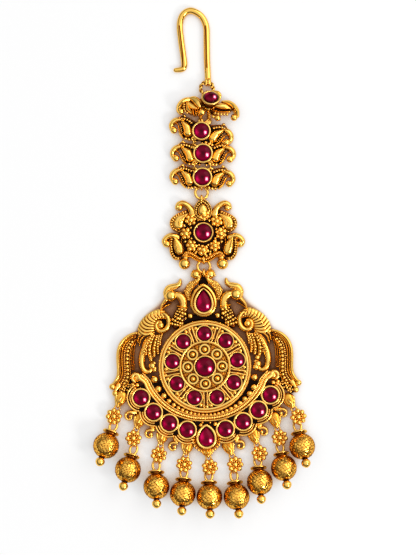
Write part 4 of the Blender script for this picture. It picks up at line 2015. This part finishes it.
@dataclass(frozen=True)
class Hanging:
    """One hanging drop: root of its hanger, flower, ball and lean of its axis."""

    index: int
    root: Flat
    flower: Flat
    ball: Flat
    lean: float
    eye_reach: float = 2.74      # flower to the hanger's eye
    eye_radius: float = 0.55
    eye_wire: float = 0.2
    eye_level: float = 1.4
    slope: float = 20.7          # the ball's axis falls this much towards the flower
    ball_radius: float = 3.144
    granule: float = 0.6
    flower_level: float = 2.15
    loop_radius: float = 0.62
    grip_reach: float = 6.45     # the ball's middle to the flower's lower eye

    def toward_root(self) -> Array:
        """Unit vector from the flower to the root of the hanger."""
        gap = np.subtract(self.root, self.flower)
        return gap / np.linalg.norm(gap)

    def eye(self) -> Array:
        """Middle of the hanger's eye."""
        return np.asarray(self.flower) + self.toward_root() * self.eye_reach

    def axis(self) -> Array:
        """Unit vector from the ball to its loop: the lean turns it, the slope tips it down."""
        lean, slope = math.radians(self.lean), math.radians(self.slope)
        return np.array((math.sin(lean) * math.cos(slope), math.cos(lean) * math.cos(slope),
            -math.sin(slope)))

    def pad(self) -> Parts:
        """Leaf of the hanger with a bright drop on it, grains along its outer edge, a ribbed
        inner edge, and its eye.

        Returns:
            Its surfaces.
        """
        eye, root = self.eye(), np.asarray(self.root)
        toward = self.toward_root()
        side = np.array((-toward[1], toward[0]))
        middle = (root + eye) / 2
        pad = strand(np.array([root, middle, eye]), [3.1, 2.5, 1], 1.1, [2, 2.3, 2], 0.06,
            LEAF).darker(0.4)
        outer = side if self.root[0] < 0 else -side
        drop = strand(np.array([root - outer * 0.1, middle + outer * 0.1, root * 0.2 + eye * 0.8]),
            [0.7, 1.35, 0.4], 1.4, [2.3, 2.7, 2.2], 0)
        along = np.linspace(0, 1, 8)[:, None]
        row = root * (1 - along) + eye * along + outer * (1.3 - 0.95 * along ** 1.5)
        grains = granules(np.column_stack([row, np.full(8, 1.7)]), 0.34, 8)
        edge = strand(np.array([root - outer * 1.15, middle - outer, eye - outer * 0.35]), 0.5, 1.2,
            2.2, 0.35, DOMED, Ridges(0.42, 0.2))
        hoop = ring((*eye, self.eye_level), self.eye_radius, self.eye_wire, (-side[0], -side[1], 0),
            segments=36, sides=10)
        return [*smoothed(pad, drop, grains), edge, hoop.smooth()]

    def build_flower(self, bench: Bench) -> None:
        """Writes the flower: eight granules round one, on a back plate, with a flat loop
        above and an upright eye below.

        Args:
            bench: writes the piece.
        """
        x, y = self.flower
        toward = self.toward_root()
        angle = math.atan2(toward[1], toward[0]) + np.radians(45 * (np.arange(8) + 0.5))
        outer = about(x, y, self.flower_level, 1.42, angle)
        near = about(x, y, self.flower_level, 0.84, angle + math.pi / 8)
        made = [granules(outer, self.granule, 14), granules(near, 0.26, 8),
            granules([(x, y, 2.3)], 0.68, 16), plate(round_outline(1.5, 32), (x, y), 1.6, 2.05,
            0.45)]
        loop = np.asarray(self.flower) + toward * (self.eye_reach - self.loop_radius)
        made.append(ring((*loop, self.eye_level), self.loop_radius, self.eye_wire, segments=36,
            sides=10))
        grip = np.array((*self.ball, self.ball_radius)) + self.axis() * self.grip_reach
        lean = math.radians(self.lean)
        made.append(ring(tuple(grip), 0.6, 0.17, (math.cos(lean), -math.sin(lean), 0), segments=36,
            sides=10))
        bench.write(f"drop_flower_{self.index}", made, [SMOOTH], [f"drop_flower_{self.index}"])

    def hammered(self) -> Surface:
        """Ball of facets about evenly strewn, slightly shifted points: the radius dips towards
        the nearest point and where three facets meet, and each facet leans its own way.

        Returns:
            The ball about the origin.
        """
        columns, rows, dimples = 224, 112, 290
        facet_width, seam_width, corner_width = 0.12, 0.035, 0.055
        chance = np.random.default_rng(40 + self.index)
        k = np.arange(dimples) + 0.5
        z = 1 - 2 * k / dimples
        turn = k * math.pi * (3 - math.sqrt(5))
        flat = np.sqrt(1 - z * z)
        spots = np.stack([flat * np.cos(turn), flat * np.sin(turn), z], axis=1)
        spots += chance.normal(0, 0.03, spots.shape)
        spots /= np.linalg.norm(spots, axis=1, keepdims=True)
        polar_angle = np.linspace(math.pi, 0, rows + 1)[None, :]
        angle = all_round(columns)[:, None]
        unit = np.stack([np.sin(polar_angle) * np.cos(angle), np.sin(polar_angle) * np.sin(angle),
            np.cos(polar_angle) * np.ones_like(angle)], axis=-1)
        close = np.partition(unit.reshape(-1, 3) @ spots.T, -3, axis=1)[:, -3:]
        third, second, first = np.arccos(np.clip(np.sort(close, axis=1), -1, 1)).T
        facet = 1 - (first / facet_width) ** 2
        seam = np.exp(-(((second - first) / seam_width) ** 2))
        owner = (unit.reshape(-1, 3) @ spots.T).argmax(axis=1)
        tilt = np.cross(spots, chance.normal(0, 0.13, spots.shape))[owner]
        corner = np.exp(-(((third - first) / corner_width) ** 2)) * chance.uniform(0.3, 1,
            dimples)[owner]
        lift = (unit.reshape(-1, 3) * tilt).sum(axis=1) * self.ball_radius
        radius = (self.ball_radius - 0.03 - 0.024 * np.clip(facet, 0, 1) - 0.1 * corner
            + np.clip(lift, -0.05, 0.03))
        shade = 0.4 * seam + 1.15 * corner - 0.03
        return welded(unit.reshape(-1, 3) * radius[:, None],
            grid_faces(columns, rows + 1, wrap_rows=True), np.clip(shade, 0, 0.95))

    def build_ball(self, bench: Bench) -> None:
        """Writes the ball with its cap, neck, loop and finial, made upright with the
        loop on top and then laid down.

        Args:
            bench: writes the piece.
        """
        r = self.ball_radius
        cap = lathe([(0, r - 0.5, 1), (1, r - 0.5, 1), (1.2, r + 0.02, 0.3), (1.5, r + 0.1, -0.1),
            (1.85, r + 0.2, -0.3), (1.97, r + 0.3, -0.4), (1.97, r + 0.4, -0.4),
            (1.85, r + 0.5, -0.2), (1.2, r + 0.58, 0.1), (0.6, r + 0.62, 0.4), (0, r + 0.62, 0.5)],
            56)
        finial = lathe([(0, -r - 2.2, 0), (0.3, -r - 2.14, 0), (0.7, -r - 1.9, 0),
            (1.02, -r - 1.5, -0.1), (1.14, -r - 1.04, -0.1), (1.06, -r - 0.62, 0),
            (0.8, -r - 0.3, 0.2), (0.62, -r - 0.14, 0.7), (0.75, -r + 0.1, 1), (0, -r + 0.2, 1)],
            40)
        loop = ring((0, 0, 5.15), 0.85, 0.3, (0, 1, 0), segments=56, tall=1.3)
        turned = turn_about("z", -self.lean) @ turn_about("x", -90 - self.slope)
        ball = self.hammered().placed(turned, (*self.ball, r))
        ball.shade[:] = ball.shade + 0.55 * np.clip(1 - (ball.points[:, 2] / r - 1) / 0.75, 0, 1.3)
        edge = ring((0, 0, r + 0.34), 1.8, 0.19, segments=56)
        made = [ball] + [s.placed(turned, (*self.ball, r)).smooth()
            for s in (cap, edge, finial, loop)]
        bench.write(f"drop_ball_{self.index}", made, [HAMMERED, SMOOTH],
            [f"drop_ball_{self.index}"])


@dataclass
class Hangers:
    """Pads and eyes under the crescent with the curled ends between them."""

    curls: tuple[tuple[float, float, float, float], ...] = ((-17, -10.6, -18.4, -11.55),
        (-12.9, -14.4, -13.65, -15.95), (-7.4, -17.3, -8.05, -19.1))

    def build(self, bench: Bench, drops: list[Hanging]) -> None:
        """Writes the hangers.

        Args:
            bench: writes the piece.
            drops: the drops that hang on them.
        """
        made = [s for drop in drops for s in drop.pad()]
        for root_x, root_y, x, y in self.curls:
            hook = strand([(root_x, root_y), (x + 0.85, y + 0.85), (x, y + 0.95),
                (x - 0.8, y + 0.5), (x - 0.85, y - 0.35), (x - 0.2, y - 0.85), (x + 0.5, y - 0.55)],
                [1.5, 0.95, 0.78, 0.74, 0.7, 0.66, 0.6], 0.7, [1.6, 2, 2, 1.95, 1.9, 1.9, 1.8],
                0.31, LEAF).darker(-0.2)
            ball = granules([(x + 0.35, y - 0.1, 1.3)], 0.5, 10)
            made += laid(both([hook.smooth(), ball.smooth()]))
        bench.write("hangers", made, [ANTIQUE, SMOOTH], FRAME)


# ---------- stage


@dataclass
class Stage:
    """White sheet, soft lamps and the camera over the middle of the piece."""

    view_height: float = 0.1332
    lens: float = 120.0
    sensor: float = 36.0
    middle: Flat = (0.00072, 0.02136)
    focus: float = 0.002
    sheet: float = 2.0
    sheet_albedo: float = 0.38
    sheet_glow: float = 0.565      # to the camera, to metal and to glass
    contact: float = 0.0035        # how far the piece's dark foot reaches on the sheet
    disc_middle: Spot = (0.0, 0.001, 0.0)
    disc: Flat = (0.0175, 0.0187)  # where the shade under the pendant starts to end, and ends
    disc_shade: float = 0.3
    tint: Stops = ((0.0, (0.08, 0.028, 0.012)), (0.12, (0.34, 0.15, 0.065)),
        (0.3, (0.5, 0.265, 0.145)), (0.42, (0.78, 0.63, 0.49)), (0.58, (0.95, 0.89, 0.83)),
        (0.74, (0.99, 0.98, 0.97)), (0.88, WHITE))
    room: tuple[Flat, ...] = ((0.0, 0.04), (0.3, 0.12), (0.55, 0.42), (0.8, 0.9), (1.0, 0.97))
    zenith: float = 52.0           # of both lamps, in degrees from straight above
    distance: float = 1.5

    def floor(self) -> None:
        """White sheet that glows a little to the camera, browner where the piece hides it."""
        half = self.sheet / 2
        mesh = bpy.data.meshes.new("sheet")
        mesh.from_pydata([(-half, -half, 0), (half, -half, 0), (half, half, 0), (-half, half, 0)],
            [], [(0, 1, 2, 3)])
        sheet = bpy.data.objects.new("sheet", mesh)
        bpy.context.scene.collection.objects.link(sheet)
        made = bpy.data.materials.new("white_sheet")
        made.use_nodes = True
        graph = Graph(made.node_tree)
        seen = graph.node("AmbientOcclusion", {"Distance": self.contact}, samples=8).outputs["AO"]
        place = graph.node("TexCoord").outputs["Object"]
        reach = graph.node("VectorMath", {0: place, 1: self.disc_middle},
            operation="DISTANCE").outputs["Value"]
        under = graph.node("MapRange", {0: reach, 1: self.disc[0], 2: self.disc[1],
            3: self.disc_shade, 4: 0.0})
        seen = graph.node("Math", {0: seen, 1: under.outputs[0]}, operation="SUBTRACT")
        tint = graph.ramp(seen.outputs[0], self.tint)
        albedo = graph.node("VectorMath", {0: tint, 1: (self.sheet_albedo,) * 3},
            operation="MULTIPLY").outputs[0]
        body = graph.node("BsdfDiffuse", {"Color": albedo})
        rays = graph.node("LightPath").outputs
        shown = graph.combine(rays["Is Glossy Ray"], 1.0, rays["Is Camera Ray"])
        shown = graph.combine(rays["Is Transmission Ray"], 1.0, shown)
        glow = graph.node("Emission", {"Color": tint,
            "Strength": graph.combine(shown, self.sheet_glow, 0.0)})
        mixed = graph.node("AddShader", {0: body.outputs[0], 1: glow.outputs[0]})
        graph.node("OutputMaterial", {"Surface": mixed.outputs[0]})
        mesh.materials.append(made)

    def lamp(self, name: str, toward: Flat, size: Flat, radiance: float) -> None:
        """Soft box that faces the piece.

        Args:
            name: its name.
            toward: horizontal direction in which it stands.
            size: its width and its length, in metres.
            radiance: brightness of its face. Its power is that times pi times its area.
        """
        data = bpy.data.lights.new(name, "AREA")
        data.shape = "RECTANGLE"
        data.size, data.size_y = size
        data.energy = radiance * math.pi * size[0] * size[1]
        flat = np.asarray(toward, float) / math.hypot(*toward)
        tilt = math.radians(self.zenith)
        place = np.array((*(flat * math.sin(tilt)), math.cos(tilt))) * self.distance
        lamp = bpy.data.objects.new(name, data)
        back = unit(place)
        along = unit(np.cross((0, 0, 1), back))
        across = np.cross(along, back)
        turn = np.eye(4)
        turn[:3, 0], turn[:3, 1], turn[:3, 2] = across, along, back
        turn[:2, 3] = place[:2] + self.middle
        turn[2, 3] = place[2]
        lamp.matrix_world = Matrix(turn.tolist())
        lamp.visible_camera = False
        bpy.context.scene.collection.objects.link(lamp)

    def world(self) -> None:
        """Room that brightens from the horizon to a pale ceiling; white to the camera."""
        world = bpy.data.worlds.new("room")
        bpy.context.scene.world = world
        world.use_nodes = True
        graph = Graph(world.node_tree)
        way = graph.node("TexCoord").outputs["Generated"]
        part = graph.node("SeparateXYZ", {0: way}).outputs
        lean = graph.combine(part["Y"], 0.2, part["Z"])
        room = graph.ramp(lean, tuple((at, (grey, grey, grey)) for at, grey in self.room))
        white = graph.node("Background", {"Color": WHITE, "Strength": 1.0})
        dim = graph.node("Background", {"Color": room, "Strength": 1.0})
        rays = graph.node("LightPath").outputs
        mixed = graph.node("MixShader", {0: rays["Is Camera Ray"], 1: dim.outputs[0],
            2: white.outputs[0]})
        graph.node("OutputWorld", {"Surface": mixed.outputs[0]})

    def camera(self) -> None:
        """Long lens straight over the piece, its long side along Y."""
        data = bpy.data.cameras.new("camera")
        data.lens, data.sensor_width = self.lens, self.sensor
        camera = bpy.data.objects.new("camera", data)
        distance = self.view_height * self.lens / self.sensor
        camera.location = (*self.middle, self.focus + distance)
        data.clip_start, data.clip_end = 0.01, 10.0
        bpy.context.scene.collection.objects.link(camera)
        bpy.context.scene.camera = camera

    def build(self) -> None:
        """Builds the stage."""
        self.floor()
        self.lamp("key", (1.0, 0.65), (1.3, 1.5), 2.0)
        self.lamp("glint", (1.0, -0.75), (0.34, 0.34), 26.0)
        self.world()
        self.camera()


# ---------- the piece


LINKS = ((1.17, 64.25, -6.6, 2.25), (-0.87, 56.5, -13, 2.28), (-0.48, 51.15, -1, 2.4),
    (-0.62, 45.4, -2.3, 2.4))
LINK_RINGS = [((-1.05, 0.95), 59.9), ((-2.75, 1.35), 53.9), ((-2.55, 1.35), 48.2)]
DROPS = ((-20.1, -7.4, -21.87, -11.95, -23.68, -18.88, 20), (-15.6, -12.6, -17.17, -17.17, -18.45,
    -24.64, 15), (-10.2, -16.5, -11.09, -21.12, -11.63, -28.69, -1.3), (-4.2, -19, -5.01, -23.47,
    -5.33, -30.4, 2.8), (0.55, -20.3, 1.17, -24.11, 1.07, -31.15, -2), (5.5, -19, 7.25, -23.47,
    7.57, -31.15, -7.2), (11.6, -16.3, 13.12, -20.8, 13.12, -27.63, -4.8), (16.7, -12.5, 17.92,
    -17.07, 18.88, -24.21, -9.8), (20, -7.9, 22.4, -12.05, 23.25, -19.09, -12.4))


def build_chain(bench: Bench, rings: FlatRings) -> None:
    """Builds the hook, the links, their stones and rings, and the rosette.

    Args:
        bench: writes the pieces.
        rings: the flat rings and their eyes.
    """
    Hook().build(bench)
    eye_y = Place.of("hook_ring").centre[1] - 1.5
    hook_eye = upright_eye((0.45, eye_y, 1.1))
    first = FirstLink(1, LINKS[0], None, LINK_RINGS[0], floor=0.0, seat=2.8, bezel_top=3.45)
    first.build(bench, [hook_eye])
    first.stone(bench)
    for index in (1, 2, 3):
        below = LINK_RINGS[index] if index < 3 else None
        extra = [rings.eye("ring_link_rosette", 1)] if index == 3 else []
        Link(index + 1, LINKS[index], LINK_RINGS[index - 1], below).build(bench, extra)
    RoundStones("link_rubies", ("link_2_stone", "link_3_stone", "link_4_stone"), 32).build(bench)
    SmallRings().build(bench, LINK_RINGS)
    rings.build(bench)
    Rosette().build(bench, [rings.eye("ring_link_rosette", -1),
        rings.eye("ring_rosette_pendant", 1)])
    RoundStones("rosette_ruby", ("rosette_stone",), 36).build(bench)


def build_pendant(bench: Bench, rings: FlatRings) -> None:
    """Builds the pendant's frame and stones.

    Args:
        bench: writes the pieces.
        rings: the flat rings and their eyes.
    """
    Medallion().build(bench)
    RoundStones("disc_rubies", tuple(f"disc_stone_{i}" for i in range(1, 10)), 1).build(bench)
    RoundStones("centre_ruby", ("centre_stone",), 15).build(bench)
    Crescent().build(bench)
    RoundStones("crescent_rubies", tuple(f"crescent_stone_{i}" for i in range(1, 9)),
        20).build(bench)
    DropStone("bottom_ruby", "crescent_drop_stone", -17.35, 1.83, 2.85, 50).build(bench)
    Crown().build(bench)
    DropStone("crown_ruby", "crown_stone", 14.82, 1.76, 3.53, 51).build(bench)
    for name, surfaces in (("peacock", Peacock().surfaces()), ("wing", Fan().surfaces()),
        ("side_feather", SideFeather().surfaces())):
        mirror = [s.mirrored() for s in surfaces]
        bench.write(f"{name}_left", laid(surfaces), [ANTIQUE, SMOOTH], FRAME)
        bench.write(f"{name}_right", laid(mirror), [ANTIQUE, SMOOTH], FRAME)
    bench.write("pendant_eye", [rings.eye("ring_rosette_pendant", -1)], [ANTIQUE], FRAME)


def build_drops(bench: Bench) -> None:
    """Builds the hangers, flowers and balls.

    Args:
        bench: writes the pieces.
    """
    drops = [Hanging(i + 1, row[0:2], row[2:4], row[4:6], row[6]) for i, row in enumerate(DROPS)]
    Hangers().build(bench, drops)
    for drop in drops:
        drop.build_flower(bench)
        drop.build_ball(bench)


def main() -> None:
    """Builds the whole scene."""
    logging.basicConfig(level=logging.INFO, format="%(message)s")
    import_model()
    scene = bpy.context.scene
    scene.view_settings.view_transform = "Standard"
    bench, rings = Bench(), FlatRings()
    build_chain(bench, rings)
    build_pendant(bench, rings)
    build_drops(bench)
    Stage().build()


if __name__ == "__main__":
    main()
